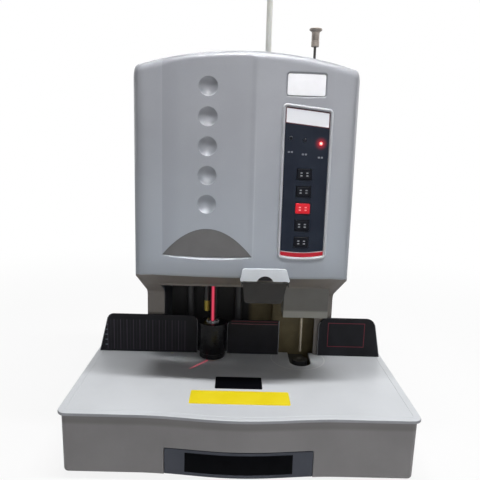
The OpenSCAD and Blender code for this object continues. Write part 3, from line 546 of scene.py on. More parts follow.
def sticker(name):
    low, high = stickers[name]
    top, edge = tableHigh.z + film["thick"], film["edge"]
    inner = roundRect([c + edge for c in low], [c - edge for c in high], film["corner"] - edge)
    outline = roundRect(low, high, film["corner"])
    levels = [(outline, tableHigh.z), (outline, top - edge), (inner, top)]
    piece = loft(name, [[(x, y, z) for x, y in flat] for flat, z in levels])
    return trim(smooth(piece, 30), "table_top")


guideDot = {"x": -97, "y": 7.5, "radius": 2.4, "rise": 1.1}


def dotDome():
    r, top = guideDot["radius"], tableHigh.z
    turns = [math.radians(15 * i) for i in range(1, 6)]
    dome = [(r * math.cos(a), top + guideDot["rise"] * math.sin(a)) for a in turns]
    outline = [(axisGap, top), (r, top)] + dome + [(axisGap, top + guideDot["rise"])]
    piece = lathe("guide_dot", outline, (guideDot["x"], guideDot["y"]), 32)
    return trim(smooth(piece, 40), "table_top")


drawerSlate = coated("drawerSlate", "#424650", "#4b4e58", 0.5, (0.8, 0.03), 40, shine=0.25)
blackFilm = coated("blackFilm", "#050609", "#0a0b0f", 0.45, (1.0, 0.006), 15, shine=0.03)
yellowFilm = coated("yellowFilm", "#f2da12", "#f9e324", 0.45, (1.0, 0.006), 25)
nylonWhite = coated("nylonWhite", "#dcd8ce", "#e8e4da", 0.45, (0.8, 0.01), 14, Subsurface_Weight=0.1)
# Painted light: the tube's nylon is a brighter copy of the white nylon, standing in for light on the tube
tubeNylonPaintedBright = coated("tubeNylonPaintedBright", "#f6f3ea", "#fdfaf2", 0.45, (0.8, 0.01), 14, Subsurface_Weight=0.1)
edgeGrey = coated("edgeGrey", "#93959a", "#9c9ea3", 0.45, (0.8, 0.02), 30, shine=0.3)
edged(paint(tablePlate(), tableFinish(), edgeGrey))
paint(baseShell(), baseFinish())
paint(drawerFace(), drawerSlate)
paint(drawerLabel(), blackFilm)
paint(sticker("yellow_sticker"), yellowFilm)
paint(sticker("black_sticker"), blackFilm)
paint(dotDome(), nylonWhite)
print("table and base done")

# Head covers
headLow, headHigh = boxOf("front_cover")
rearHigh = boxOf("rear_cover")[1]
headMid = (headLow.x + headHigh.x) / 2
headHalf = (headHigh.x - headLow.x) / 2
head = {"bow": 12, "crease": 100, "creaseDrop": 5.5, "arch": 18, "low": 218, "corner": 7, "topRoll": 11,
        "lowRoll": 4.5, "backRoll": 6, "wall": 3, "legFront": 15.5, "legTop": 171, "legBend": 14,
        "opening": 107.5, "openingFront": -26.5, "seam": 0.25}
moon = {"x": -44, "half": 54.5, "low": 244.5, "rise": 33.5, "sag": 1.5, "lip": 4, "depth": 2.2,
        "reach": 0.995}
sunk = {"left": -98, "right": 12, "depth": 1.0, "ease": 15, "step": 9}
lampSpots = [(51, 387), (67.5, 384.6), (86.5, 381.4)]
tubeSpot = (24, -34.5)
pinSpot = (84.5, -4.5)
cornerFront = headLow.y + head["bow"]
underSlope = (head["low"] - head["legTop"]) / (head["legFront"] - cornerFront)
openingEnds = (headMid - head["opening"], headMid + head["opening"])


paintedShading = {"low": 230, "high": 430, "edge": 26, "front": -60}


def shellFinish():
    skin = coated("shellGrey", "#8a8c92", "#93959b", 0.36, (0.8, 0.02), 80)
    x, y, z = skin.spot.axes()
    # Painted light: the head's lower part is painted lighter and bluer, standing in for light that falls off
    # down the face
    skin.over((1 - z.ramp(paintedShading["low"], paintedShading["high"])) * 0.55, "#959da6")
    # Painted shade along the sunk panel's left edge, where the step shades the face
    edge = (x > sunk["left"]) * (1 - x.ramp(sunk["left"], sunk["left"] + paintedShading["edge"]))
    skin.over(edge * (z > moon["low"]) * (y < paintedShading["front"]) * 0.35, "#70737a")
    return skin


def headFront(x):
    u = abs(x - headMid)
    if u <= head["crease"]:
        return headLow.y + head["creaseDrop"] * (u / head["crease"]) ** 2
    share = (headHalf - u) / (headHalf - head["crease"])
    return cornerFront - (head["bow"] - head["creaseDrop"]) * share


def underside(y):
    return head["low"] - max(0, y - cornerFront) * underSlope


# The sunk panel eases in at its left edge and steps back out at its right edge
def sunkBy(x):
    if not sunk["left"] < x < sunk["right"]:
        return 0
    eased = math.sin(min(1, (x - sunk["left"]) / sunk["ease"]) * math.pi / 2)
    out = (1 - math.cos(min(1, (sunk["right"] - x) / sunk["step"]) * math.pi)) / 2
    return sunk["depth"] * min(eased, out)


def moonArch(x):
    u = min(1, abs(x - moon["x"]) / moon["half"])
    return moon["low"] + moon["rise"] * (1 - u * u)


# How far the rounded side has drawn the cover in at x, and the roof's height there
def sideShape(x, inset):
    u = abs(x - headMid)
    half = headHalf - inset
    r = head["corner"] - inset / 2
    past = max(0, u - (half - r))
    drawn = r - math.sqrt(max(0, r * r - past * past))
    shoulder = min(u, half - r)
    return drawn, headHigh.z - head["arch"] * (shoulder / headHalf) ** 2 - inset - drawn


def headStations(inset):
    half = headHalf - inset
    r = head["corner"] - inset / 2
    side = [half - r + r * math.sin(math.radians(a)) for a in (90, 75, 60, 45, 30, 15, 0)]
    crease = [head["crease"] + d for d in (9, 1.2, -1.2)]
    inner = [head["crease"] * (1 - i / 12) for i in range(1, 13)]
    spots = {headMid + s * u for u in side + crease + inner for s in (-1, 1)}
    spots |= {sunk["left"] + d for d in (0, 0.5, 2, 4.5, 7.5, 11, sunk["ease"])}
    spots |= {sunk["right"] - sunk["step"] * i / 6 for i in range(7)}
    ordered = sorted(spots)
    return ordered[:1] + [x for before, x in zip(ordered, ordered[1:]) if x - before > 0.1]


def frontSection(x, inset, end):
    drawn, top = sideShape(x, inset)
    front = headFront(x) + inset + drawn
    back = front + (0 if inset else sunkBy(x))
    rise = inset * math.sqrt(1 + underSlope ** 2)
    low = head["lowRoll"] - inset
    roll = head["topRoll"] - inset
    kink = max(cornerFront, front + low + 0.3)
    step = moonArch(x) - 0.5
    shape = [(end, underside(end) + rise), (kink, underside(kink) + rise)]
    shape += arc((front + low, underside(front + low) + rise + low), low, 270, 180, 5)
    shape += [(front, step), (back, step + 0.3)]
    shape += [(max(y, back), z) for y, z in arc((front + roll, top - roll), roll, 180, 90, 8)]
    return [(x, y, z) for y, z in shape + [(end, top)]]


def rearSection(x, inset, start):
    drawn, top = sideShape(x, inset)
    back = rearHigh.y - inset - drawn
    rise = inset * math.sqrt(1 + underSlope ** 2)
    leg = head["legFront"] + inset
    roll = head["backRoll"] - inset / 2
    lean = math.atan(underSlope)
    bend = head["legBend"]
    reach = bend * math.tan(math.pi / 4 - lean / 2)
    foot = tableHigh.z - (1 if inset else 0)
    shape = [(start, underside(start) + rise)]
    shape += arc((leg - bend, underside(leg) + rise - reach), bend, 90 - math.degrees(lean), 0, 6)
    shape += [(leg, foot), (back, foot)] + arc((back - roll, top - roll), roll, 0, 90, 6)
    return [(x, y, z) for y, z in shape + [(start, top)]]


def hollowed(name, section, rim):
    outer = loft(name, [section(x, 0, rim[0]) for x in headStations(0)])
    inner = loft("hollow", [section(x, head["wall"], rim[1]) for x in headStations(head["wall"])])
    return outer, inner


# A flat outline of X and Z given depth along the head's bowed face
def onFace(name, outline, ahead, behind):
    prism = loft(name, [[(x, y, z) for x, z in outline] for y in (headLow.y - 10, headLow.y + 20)])
    left, right = min(x for x, z in outline), max(x for x, z in outline)
    low, high = min(z for x, z in outline) - 2, max(z for x, z in outline) + 2
    shape = ((-ahead, low), (behind, low), (behind, high), (-ahead, high))
    stations = [left - 2 + (right - left + 4) * i / 16 for i in range(17)]
    band = loft("band", [[(x, headFront(x) + y, z) for y, z in shape] for x in stations])
    return carve(prism, band, "INTERSECT")


dimple = {"x": -45.5, "low": 307.5, "pitch": 33.75, "radius": 11.2, "depth": 6, "wall": 2, "count": 5}


def dimpleBalls(extra):
    ball = (dimple["radius"] ** 2 + dimple["depth"] ** 2) / (2 * dimple["depth"])
    y = headFront(dimple["x"]) + sunk["depth"] - ball + dimple["depth"]
    balls = []
    for i in range(dimple["count"]):
        at = Vector((dimple["x"], y, dimple["low"] + i * dimple["pitch"]))
        selectNone()
        bpy.ops.mesh.primitive_uv_sphere_add(segments=72, ring_count=64, radius=(ball + extra) * mm,
                                             location=at * mm, rotation=(math.pi / 2, 0, 0))
        balls.append(settled("ball"))
    return joined(balls, "balls")


# The half-moon's recess, whose lower lip slopes out to the face
def halfMoonCut():
    sections = []
    for i in range(49):
        u = moon["reach"] * (i / 24 - 1)
        x = moon["x"] + u * moon["half"]
        share = 1 - u * u
        floor = moon["low"] - moon["sag"] * share
        lip = floor - (moon["lip"] - moon["sag"]) * share * (1 + 1 / moon["depth"])
        shape = [(-1, lip), (moon["depth"], floor), (moon["depth"], moonArch(x)), (-1, moonArch(x))]
        sections.append([(x, headFront(x) + y, z) for y, z in shape])
    return loft("moon", sections)


tablet = {"low": (45, 434.8), "high": (88.5, 458.4), "corner": 2, "edge": 0.25, "sunk": 0.3, "recess": 1.6,
          "margin": 0.4, "slope": 1.1, "ahead": 1.2}


# The name plate's recess, whose walls slope out to the face
def plateRecess():
    sections = []
    for deep in (-tablet["ahead"], tablet["recess"]):
        grow = tablet["margin"] + (tablet["recess"] - deep) * tablet["slope"]
        low, high = [c - grow for c in tablet["low"]], [c + grow for c in tablet["high"]]
        flat = roundRect(low, high, tablet["corner"] + grow)
        sections.append([(x, headFront(x) + deep, z) for x, z in flat])
    return loft("recess", sections)


holes = {"keyRoom": 0.5, "lamp": 2.25, "tube": 4.5, "drop": 6, "pin": 2.65}  # radii, but for the keys' room


def frontCover():
    cover, hollow = hollowed("head_front", frontSection, (headHigh.y - head["seam"], headHigh.y + 8))
    carve(hollow, dimpleBalls(dimple["wall"]))
    carve(cover, hollow)
    carve(cover, dimpleBalls(0))
    carve(cover, halfMoonCut())
    carve(cover, plateRecess())
    room = Vector((holes["keyRoom"], 20, holes["keyRoom"]))
    cuts = []
    for i in range(1, 6):
        low, high = boxOf("button_%d" % i)
        cuts.append(box("cut", low - room, high + room))
    cuts += [rod("cut", (x, headLow.y, z), holes["lamp"], 40, "Y", 24) for x, z in lampSpots]
    cuts.append(rod("cut", (*tubeSpot, headHigh.z), holes["tube"], 80))
    cuts.append(rod("cut", (*tubeSpot, underside(tubeSpot[1])), holes["drop"], 30))
    carve(cover, joined(cuts, "cuts"))
    left, right = openingEnds
    carve(cover, box("cut", (left, head["openingFront"], 150), (right, 0, head["low"])))
    return fit(smooth(cover, 30), "front_cover")


vents = {"columns": (-76.5, 13.5), "width": 60, "low": 258, "height": 4, "pitch": 10, "count": 12}


def rearCover():
    cover, hollow = hollowed("head_rear", rearSection, (headHigh.y + head["seam"], headHigh.y - 8))
    carve(cover, hollow)
    left, right = openingEnds
    carve(cover, box("cut", (left, -40, tableHigh.z - 2), (right, head["legFront"] + 6, head["low"])))
    slots = []
    for start in vents["columns"]:
        for i in range(vents["count"]):
            low = vents["low"] + i * vents["pitch"]
            high = (start + vents["width"], rearHigh.y + 4, low + vents["height"])
            slots.append(box("cut", (start, rearHigh.y - 8, low), high))
    carve(cover, joined(slots, "cuts"))
    carve(cover, rod("cut", (*pinSpot, headHigh.z), holes["pin"], 80))
    return fit(smooth(cover, 30), "rear_cover")


# The leg fronts and the underside take a darker grey, partly the covers' own two-tone paint and partly
# painted shade under the head
def linedAndShaded(piece):
    for face in piece.data.polygons:
        if face.center.z / mm < head["low"] - 0.5 and (face.normal.y < -0.4 or face.normal.z < -0.4):
            face.material_index = 1
    return piece


openLip = {"height": 1.6, "thick": 1.2, "edge": 0.3, "into": 0.4}


# Turned-down rim along the front of the opening under the head
def openingRim():
    y, thick, edge = head["openingFront"], openLip["thick"], openLip["edge"]
    top = underside(y) + openLip["into"]
    low = top - openLip["height"] - openLip["into"]
    front = y - thick
    shape = [(front, top + thick * underSlope), (front, low + edge), (front + edge, low), (y - edge, low)]
    shape += [(y, low + edge), (y, top)]
    piece = loft("opening_rim", [[(x, *point) for point in shape] for x in openingEnds])
    return trim(smooth(piece, 30), "front_cover")


def namePlate():
    outline = roundRect(tablet["low"], tablet["high"], tablet["corner"])
    piece = onFace("name_tablet", outline, -tablet["sunk"], tablet["recess"])
    return fit(even(roundEdges(piece, tablet["edge"], 2), 30), "name_plate")


# Painted shade: the head's underside is painted darker than the legs' fronts
def linerAndShadeFinish():
    skin = coated("legLinerAndShade", "#77726e", "#807b77", 0.5, (0.8, 0.03), 60, shine=0.3)
    z = skin.spot.axes()[2]
    skin.over(z.ramp(head["legTop"] - 4, head["legTop"] + 4) * 0.85, "#706a66")
    return skin


shellGrey = shellFinish()
plateWhite = coated("plateWhite", "#ececf0", "#f4f4f8", 0.35, (0.9, 0.008), 20)
legLinerAndShade = linerAndShadeFinish()
linedAndShaded(paint(frontCover(), shellGrey, legLinerAndShade))
linedAndShaded(paint(rearCover(), shellGrey, legLinerAndShade))
paint(openingRim(), legLinerAndShade)
paint(namePlate(), plateWhite)
print("head covers done")

# Key panel
panel = {"middle": 69.75, "half": 25.8, "slant": 0.101, "strip": (44.9, 94.6, 402.2, 418.2), "outline": 0.9,
         "sag": 2, "stripeTop": 253.6, "line": 0.9, "markDrop": 16, "mark": (2.5, 2.0, 1.0),
         "halo": (1.2, 10)}


def overlayFinish():
    skin = coated("overlayFilm", "#191e2a", "#212732", 0.35, (0.9, 0.006), 25, shine=0.12)
    x, y, z = skin.spot.axes()
    left, right, low, high = panel["strip"]
    rim = panel["outline"]
    slanted = z + (x - panel["middle"]) * panel["slant"]
    skin.over(x.within(left - rim, right + rim) * slanted.within(low - rim, high + rim), "#5e2a32")
    skin.over(x.within(left, right) * slanted.within(low, high), "#ecedf2")
    u = (x - panel["middle"]) * (1 / panel["half"])
    sagged = z + (1 - u * u) * panel["sag"]
    stripe = panel["stripeTop"]
    skin.over(sagged.within(stripe, stripe + panel["line"]), "#a9a3a8")
    skin.over(sagged < stripe, "#ac2430")
    wide, tall, gap = panel["mark"]
    for lampX, lampZ in lampSpots:
        aside = abs(x - lampX) - gap / 2
        level = abs(z - lampZ + panel["markDrop"]) < tall / 2
        skin.over(aside.within(0, wide) * level * 0.7, "#8a8e96")
    # Painted light: the lit lamp's red glow spread over the film around it
    lampX, lampZ = lampSpots[2]
    halo = 1 - (x - lampX).far(z - lampZ).ramp(*panel["halo"])
    skin.glow(halo * halo, "#b01420", 0.9)
    return skin


keys = {"x": 68.5, "low": 264.8, "pitch": 20.2, "bars": (2.2, 4.6), "barRise": 1.6, "barHalf": 0.7}


def keyFinish(name, dark, light, mark):
    skin = coated(name, dark, light, 0.4, (0.6, 0.01), 8, shine=0.1)
    x, y, z = skin.spot.axes()
    up = (z - keys["low"] + keys["pitch"] / 2) % keys["pitch"] - keys["pitch"] / 2
    level = abs(abs(up) - keys["barRise"]) < keys["barHalf"]
    skin.over(abs(x - keys["x"]).within(*keys["bars"]) * level * 0.75, mark)
    return skin


def lampFinish():
    skin = coated("lampLens", "#1a1c24", "#22252d", 0.3, (0.6, 0.01), 6, shine=0.15)
    x, y, z = skin.spot.axes()
    lampX, lampZ = lampSpots[2]
    lit = x > lampX - 5
    skin.over(lit, "#ff5a50")
    heart = 1 - (x - lampX).far(z - lampZ).ramp(0.4, 2.2)
    skin.set("Emission Color", lit.blend((0, 0, 0, 1), heart.blend(colour("#ff3028"), colour("#ffd8d0"))))
    skin.set("Emission Strength", 1.6)
    return skin


bezel = {"slant": 2.4, "sag": 2, "corner": 6, "rim": 3.8, "proud": 3.2, "seat": 0.2}


# The bezel's outline at an inset: slanted top, sagging foot and round corners
def bezelOutline(inset):
    low, high = boxOf("panel_bezel")
    left, right = low.x + inset, high.x - inset
    foot, top = low.z + bezel["sag"] + inset, high.z - bezel["slant"] - inset
    r, slant = bezel["corner"] - inset, bezel["slant"]
    middle, half = (left + right) / 2, (right - left) / 2 - r
    across = [i / 8 - 1 for i in range(1, 16)]
    flat = arc((left + r, foot + r), r, 180, 270, 8)
    flat += [(middle + u * half, foot - bezel["sag"] * (1 - u * u)) for u in across]
    flat += arc((right - r, foot + r), r, 270, 360, 8) + arc((right - r, top - slant - r), r, 0, 90, 8)
    flat += [(middle - u * half, top + u * slant) for u in across]
    return flat + arc((left + r, top + slant - r), r, 90, 180, 8)


# A rounded bead that follows the outline and the bowed face
def bezelRing():
    rings = []
    for turn in [math.radians(15 * i) for i in range(13)]:
        inset = bezel["rim"] / 2 * (1 - math.cos(turn))
        ahead = (bezel["proud"] + bezel["seat"]) * math.sin(turn) - bezel["seat"]
        rings.append([(x, headFront(x) - ahead, z) for x, z in bezelOutline(inset)])
    return fit(smooth(loft("bezel_ring", rings + rings[:1], "NOTHING"), 40), "panel_bezel")


bezelGrey = coated("bezelGrey", "#a2a4a9", "#abadb2", 0.3, (0.8, 0.012), 40)
keyDark = keyFinish("keyDark", "#0a0c12", "#101219", "#9da0a6")
keyRed = keyFinish("keyRed", "#b41a26", "#c62a34", "#e8b4b4")
# Painted light: the red key is given a faint glow of its own
keyRed.set("Emission Color", colour("#c8202a"))
keyRed.set("Emission Strength", 0.2)
for i in range(1, 6):
    paint(dressed("button_%d" % i, 0.8, 3), keyRed if i == 3 else keyDark)
inlayGrey = coated("inlayGrey", "#595859", "#626162", 0.6, (0.6, 0.03), 30, shine=0.3)
paint(dressed("half_moon_inlay", 0.2, 2), inlayGrey)
paint(bezelRing(), bezelGrey)
paint(dressed("panel_overlay", 0.2, 2), overlayFinish())
paint(dressed("status_lamps", 0.8, 4), lampFinish())
print("key panel done")

# Outlet cowl, smoked guard and rivet cover under the head
cowl = {"low": 216.5, "high": 231.5, "corner": 2.6, "notch": (27, 11, 6.5), "liner": 1.2}


def outletCowl():
    piece = cleanCopy("outlet_cowl")
    top = cowl["high"]

    def shoulder(a, b):
        level = abs(a.z - top) < 0.2 and abs(b.z - top) < 0.2
        return level and abs(a.x - b.x) < 0.4 and abs(a.y - b.y) > 1

    roundSome(piece, shoulder, cowl["corner"])
    return fit(even(roundEdges(piece, 0.7, 3)), "outlet_cowl")


def cowlFinish():
    skin = coated("cowlWhite", "#d2d7dd", "#dde2e8", 0.4, (0.8, 0.015), 30)
    z = skin.spot.axes()[2]
    # Painted shade: the cowl's underside is painted near black
    skin.over(z < cowl["low"] - 0.2, "#242426")
    return skin


# Painted shade: a dark patch behind the cowl's notch, where the notch shows only shade
def notchShadePatch():
    x, r, rise = cowl["notch"]
    low = cowl["low"] + 0.5
    start = math.degrees(math.asin((r - rise) / r))
    segment = arc((x, cowl["low"] + rise - r), r + 0.4, start, 180 - start, 24)
    piece = onFace("notch_shade_patch", [(px, max(pz, low)) for px, pz in segment], cowl["liner"], 0.2)
    return trim(smooth(piece, 30), "outlet_cowl")


coverBand = {"height": 10, "draw": 2.2}


def rivetCover():
    piece = cleanCopy("rivet_cover")
    low, high = boxOf("rivet_cover")
    top = low.z + coverBand["height"]
    wedge = [(low.y - 3, low.z - 1), (low.y + coverBand["draw"], low.z - 1), (low.y, top), (low.y - 3, top)]
    carve(piece, loft("cut", [[(x, *point) for point in wedge] for x in (low.x - 2, high.x + 2)]))
    return fit(even(roundEdges(piece, 0.8, 3, 25), 30), "rivet_cover")


# The rivet cover is painted a darker grey, partly its own colour and partly painted shade under the head;
# its chamfered foot band is painted lighter, standing in for light thrown up from the table
def coverFinish():
    skin = coated("coverGrey", "#656461", "#6e6d6a", 0.5, (0.8, 0.03), 50, shine=0.3)
    z = skin.spot.axes()[2]
    top = boxOf("rivet_cover")[0].z + coverBand["height"]
    skin.over((1 - z.ramp(top - 1.5, top + 2)) * 0.85, "#989892")
    return skin


def smokedFinish():
    skin = Finish("smokedClear", 0.12, IOR=1.49, Transmission_Weight=0.8)
    tone = skin.spot.noise(9, 3.0)
    skin.lay(tone.ramp(0.3, 0.7).blend(colour("#28211b"), colour("#352d26")))
    skin.grain(2.5, 0.01, 0.4)
    return skin


blackMoulded = coated("blackMoulded", "#131416", "#1d1e21", 0.45, (0.5, 0.02), 20, shine=0.25)
paint(outletCowl(), cowlFinish())
paint(notchShadePatch(), blackMoulded)
paint(rivetCover(), coverFinish())
paint(dressed("smoked_guard", 0.5, 3), smokedFinish())
print("under-head pieces done")

# Fence: black-coated plates with bright cut edges
fence = {"face": (84, 129), "stripes": (-190, -75), "stripePitch": 9.2, "stripeWide": 1.1, "stripeThin": 0.7,
         "ticks": (-193, -189.5), "tickPitch": 7.5, "tickTall": 1.6, "middle": (-13, 53),
         "middleLines": (126.2, 130), "outline": ((125, 95), (178, 131)), "outlineWide": 1.1}


def fenceFinish():
    skin = coated("fenceBlack", "#16161a", "#1f1f24", 0.42, (0.6, 0.01), 30, shine=0.15)
    x, y, z = skin.spot.axes()
    left, right = fence["stripes"]
    pitch = fence["stripePitch"]
    face = z.within(*fence["face"])
    wide = (x - left) % pitch < fence["stripeWide"]
    narrow = (x - left) % (pitch / 2) < fence["stripeThin"]
    skin.over((wide * 0.5 + narrow * 0.3) * x.within(left, right) * face, "#4c4450")
    ticks = (z % fence["tickPitch"] < fence["tickTall"]) * x.within(*fence["ticks"])
    skin.over(ticks * face * 0.5, "#7d8894")
    left, right = fence["middle"]
    low, high = fence["middleLines"]
    skin.over((abs(z - low) < 0.5) * x.within(left, right), "#6d454c")
    skin.over((abs(z - high) < 0.9) * x.within(left, right), "#451a24")
    (left, low), (right, high) = fence["outline"]
    rim = fence["outlineWide"]
    solid = x.within(left, right) * z.within(low, high)
    bare = x.within(left + rim, right - rim) * z.within(low + rim, high - rim)
    skin.over(solid - bare, "#6a2c38")
    return skin


def fencePlate(node, skin, cutEdge):
    piece = paint(dressed(node, 0.9, 2), skin, cutEdge)
    for face in piece.data.polygons:
        if abs(face.normal.x) > 0.3 and abs(face.normal.z) < 0.5:
            face.material_index = 1
    return piece


fenceBlack = fenceFinish()
fenceEdge = coated("fenceEdge", "#7f8186", "#94969a", 0.4, (0.5, 0.01), 10)
for node in ("left_fence", "middle_fence", "right_fence"):
    fencePlate(node, fenceBlack, fenceEdge)
print("fence done")

# Presser foot, pin knob and screws
presser = {"bore": 5.5, "radius": 19.5, "ring": 17.8, "ringHeight": 7, "taper": 16, "edge": 1.8}


def middleOf(node):
    low, high = boxOf(node)
    return (low + high) / 2


def presserFoot():
    low, high = (corner.z for corner in boxOf("presser_foot"))
    r, edge, band = presser["radius"], presser["edge"], presser["ring"]
    ring = low + presser["ringHeight"]
    outline = [(presser["bore"], low)] + arc((band - edge, low + edge), edge, 270, 360, 5)
    outline += [(band, ring - 0.6), (band - 0.5, ring), (r - 1.2, ring + 0.8), (r - 0.6, ring + 2)]
    outline += [(r, ring + presser["taper"])] + arc((r - edge, high - edge), edge, 0, 90, 5)
    outline += [(presser["bore"], high)]
    return fit(smooth(lathe("presser_skin", outline, middleOf("presser_foot"), 96)), "presser_foot")


nut = {"inner": 4.6, "outer": 8.6, "rise": 2.4, "notch": 1.5, "count": 8}


# Notched steel ring nut on the foot, round the shaft
def ringNut():
    middle = middleOf("presser_foot")
    low = boxOf("presser_foot")[1].z
    high = low + nut["rise"]
    r = nut["outer"]
    outline = [(nut["inner"], low), (r, low), (r, high - 0.5), (r - 0.5, high), (nut["inner"] + 0.5, high),
               (nut["inner"], high - 0.5)]
    piece = lathe("ring_nut", outline, middle, 64)
    cuts = []
    for i in range(nut["count"]):
        turn = math.tau * (i + 0.5) / nut["count"]
        spot = (middle.x + r * math.cos(turn), middle.y + r * math.sin(turn), low)
        cuts.append(rod("cut", spot, nut["notch"], 12, "Z", 16))
    carve(piece, joined(cuts, "cuts"))
    return trim(smooth(piece), "presser_foot")


knob = {"sleeve": 5, "flange": 8, "bore": 1.7, "collar": 7, "groove": 0.35, "cone": 2.6, "head": 3,
        "cap": 2.6}


def pinKnob():
    low, high = (corner.z for corner in boxOf("pin_knob"))
    r, groove, flange, bore = (knob[key] for key in ("sleeve", "groove", "flange", "bore"))
    collar, shoulder, cap = low + knob["collar"], high - knob["head"], high - knob["cap"]
    outline = [(bore, low), (r - 0.5, low), (r, low + 0.5), (r, collar - 0.3), (r - groove, collar)]
    outline += [(r - groove, collar + 0.6), (r - 0.15, collar + 0.9), (r - 0.1, shoulder - knob["cone"] + 1)]
    outline += [(r + 0.4, shoulder - 1), (flange - 0.2, shoulder + 0.7), (flange, shoulder + 1.2)]
    outline += [(flange, high - 0.7), (flange - 0.7, high), (axisGap, high), (axisGap, cap), (bore, cap)]
    return fit(smooth(lathe("pin_knob_skin", outline, middleOf("pin_knob"), 64)), "pin_knob")


screws = {"spots": ((135, 106), (35.5, 106), (135, 405), (-2, 405), (-38, 405)), "edge": 0.6,
          "slot": (5.2, 1.1), "deep": 0.9}


# Cross-slotted heads: the slots are cut one way, then the other
def coverScrews():
    piece = roundEdges(cleanCopy("cover_screws"), screws["edge"], 3)
    low, high = boxOf("cover_screws")
    half, wide = (size / 2 for size in screws["slot"])
    sides = (high.x - screws["deep"], high.x + 1), (low.x - 1, low.x + screws["deep"])
    for dy, dz in (half, wide), (wide, half):
        cuts = []
        for inner, outer in sides:
            for y, z in screws["spots"]:
                cuts.append(box("cut", (inner, y - dy, z - dz), (outer, y + dy, z + dz)))
        carve(piece, joined(cuts, "cuts"))
    return fit(smooth(piece), "cover_screws")


footGloss = coated("footGloss", "#050507", "#0a0a0d", 0.28, (1.2, 0.003), 12, shine=0.2)
knobMetal = metal("knobMetal", "#8d857e", "#a79e96", 0.45, (0.2, 0.2, 1), 0.6)
machinedSteel = metal("machinedSteel", "#a4a8ac", "#c2c5c9", 0.26, (0.2, 0.2, 1))
rubberFoot = coated("rubberFoot", "#17171a", "#242427", 0.8, (0.9, 0.05), 10, shine=0.2)
paint(presserFoot(), footGloss)
paint(ringNut(), machinedSteel)
paint(pinKnob(), knobMetal)
paint(coverScrews(), machinedSteel)
paint(dressed("rivet_tube", 0.3, 2), tubeNylonPaintedBright)
paint(dressed("rubber_feet", 1.2, 3), rubberFoot)
paint(dressed("power_inlet", 0.6, 3), blackMoulded)
paint(dressed("power_switch", 0.5, 3), blackMoulded)
print("presser foot, knob and fittings done")

# Inner pieces, shown as built
motorBlack = coated("motorBlack", "#1f2023", "#2b2d31", 0.5, (0.7, 0.02), 15, shine=0.25)
boardGreen = coated("boardGreen", "#1f5a33", "#2a6d3f", 0.4, (1.5, 0.01), 10)
platedSteel = metal("platedSteel", "#9da2a6", "#b9bdc0", 0.34, (1, 0.08, 1))
castAlloy = coated("castAlloy", "#4c4e51", "#5c5e61", 0.5, (1.4, 0.08), 12, 0.5)
darkRod = metal("darkRod", "#2e2f31", "#3c3d3f", 0.45, (1, 1, 0.06), 0.4)
innerMarks = {"frameShade": (10, 20), "shaftLit": (196, 206), "shaftCore": (0.3, 2.7), "laserCase": 158,
              "dieRings": (2.2, 0.6), "pinDark": 400}


# Yellow-passivated steel, painted black on the drill's side as painted shade deep inside the opening
def frameFinish():
    skin = coated("yellowZinc", "#655b40", "#766b4d", 0.5, (1.2, 0.02), 18, 0.25)
    x, y, z = skin.spot.axes()
    skin.over(1 - x.ramp(*innerMarks["frameShade"]), "#101012")
    return skin


# Painted light: the pointing laser's red light on the drill's shaft, laid in as the shaft's red colour and
# glow
def shaftFinish():
    skin = metal("litShaft", "#561420", "#661c28", 0.4, (0.2, 0.2, 1), 0.2, shine=0.2)
    x, y, z = skin.spot.axes()
    core = 1 - abs(x - middleOf("spindle").x).ramp(*innerMarks["shaftCore"])
    skin.glow((1 - z.ramp(*innerMarks["shaftLit"])) * core, "#f04a68", 0.8)
    return skin


def laserFinish():
    skin = metal("laserBrass", "#85772f", "#998a3c", 0.35, (0.2, 0.2, 1), 0.7)
    case = skin.spot.axes()[2] > innerMarks["laserCase"]
    skin.over(case, "#151517")
    skin.set("Metallic", (1 - case) * 0.7)
    return skin


def dieFinish():
    skin = metal("dieSteel", "#2f3032", "#434547", 0.4, (0.2, 0.2, 1), 0.7)
    x, y, z = skin.spot.axes()
    pitch, wide = innerMarks["dieRings"]
    rings = (x - pinSpot[0]).far(y - pinSpot[1]) % pitch < wide
    skin.over(rings * 0.5, "#8a8578")
    return skin


def pinFinish():
    skin = metal("pinSteel", "#9a9182", "#b6ad9c", 0.35, (0.2, 0.2, 1), 0.6)
    skin.over(skin.spot.axes()[2] > innerMarks["pinDark"], "#3a3a38")
    return skin


inside = [
    (platedSteel, "base_plate feed_bracket drawer_tray"),
    (nylonWhite, "drill_pad tube_guide"),
    (boardGreen, "panel_board power_board"),
    (castAlloy, "top_bridge rod_block drill_carriage rivet_bracket rivet_carriage die_arm"),
    (darkRod, "guide_rods lift_screw presser_rod rivet_screw"),
    (motorBlack, "stepper_motors drill_motor rivet_head feed_motor"),
    (machinedSteel, "rivet_ram cutter_blade"),
    (rubberFoot, "feed_roller pinch_roller"),
    (shaftFinish(), "spindle drill_bit"),
    (frameFinish(), "column_frame"),
    (laserFinish(), "laser_module"),
    (pinFinish(), "centring_pin"),
    (dieFinish(), "lower_die"),
]
for skin, members in inside:
    for node in members.split():
        paint(nodes[node], skin)


# The spring takes its own mesh; the share of it kept at the foot's full travel is worked out but not applied
def presserSpring():
    low, high = boxOf("presser_spring")
    joints = frame["record"]["behaviour"]["joints"]
    travel = next(joint["range_m"][1] for joint in joints if joint["name"] == "presser_slide") / mm
    piece = fit(smooth(cleanCopy("presser_spring"), 60), "presser_spring")
    keep = 1 - travel / (high.z - low.z)
    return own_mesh(piece)


paint(presserSpring(), darkRod)
print("inner pieces done, in", len(inside), "finishes")

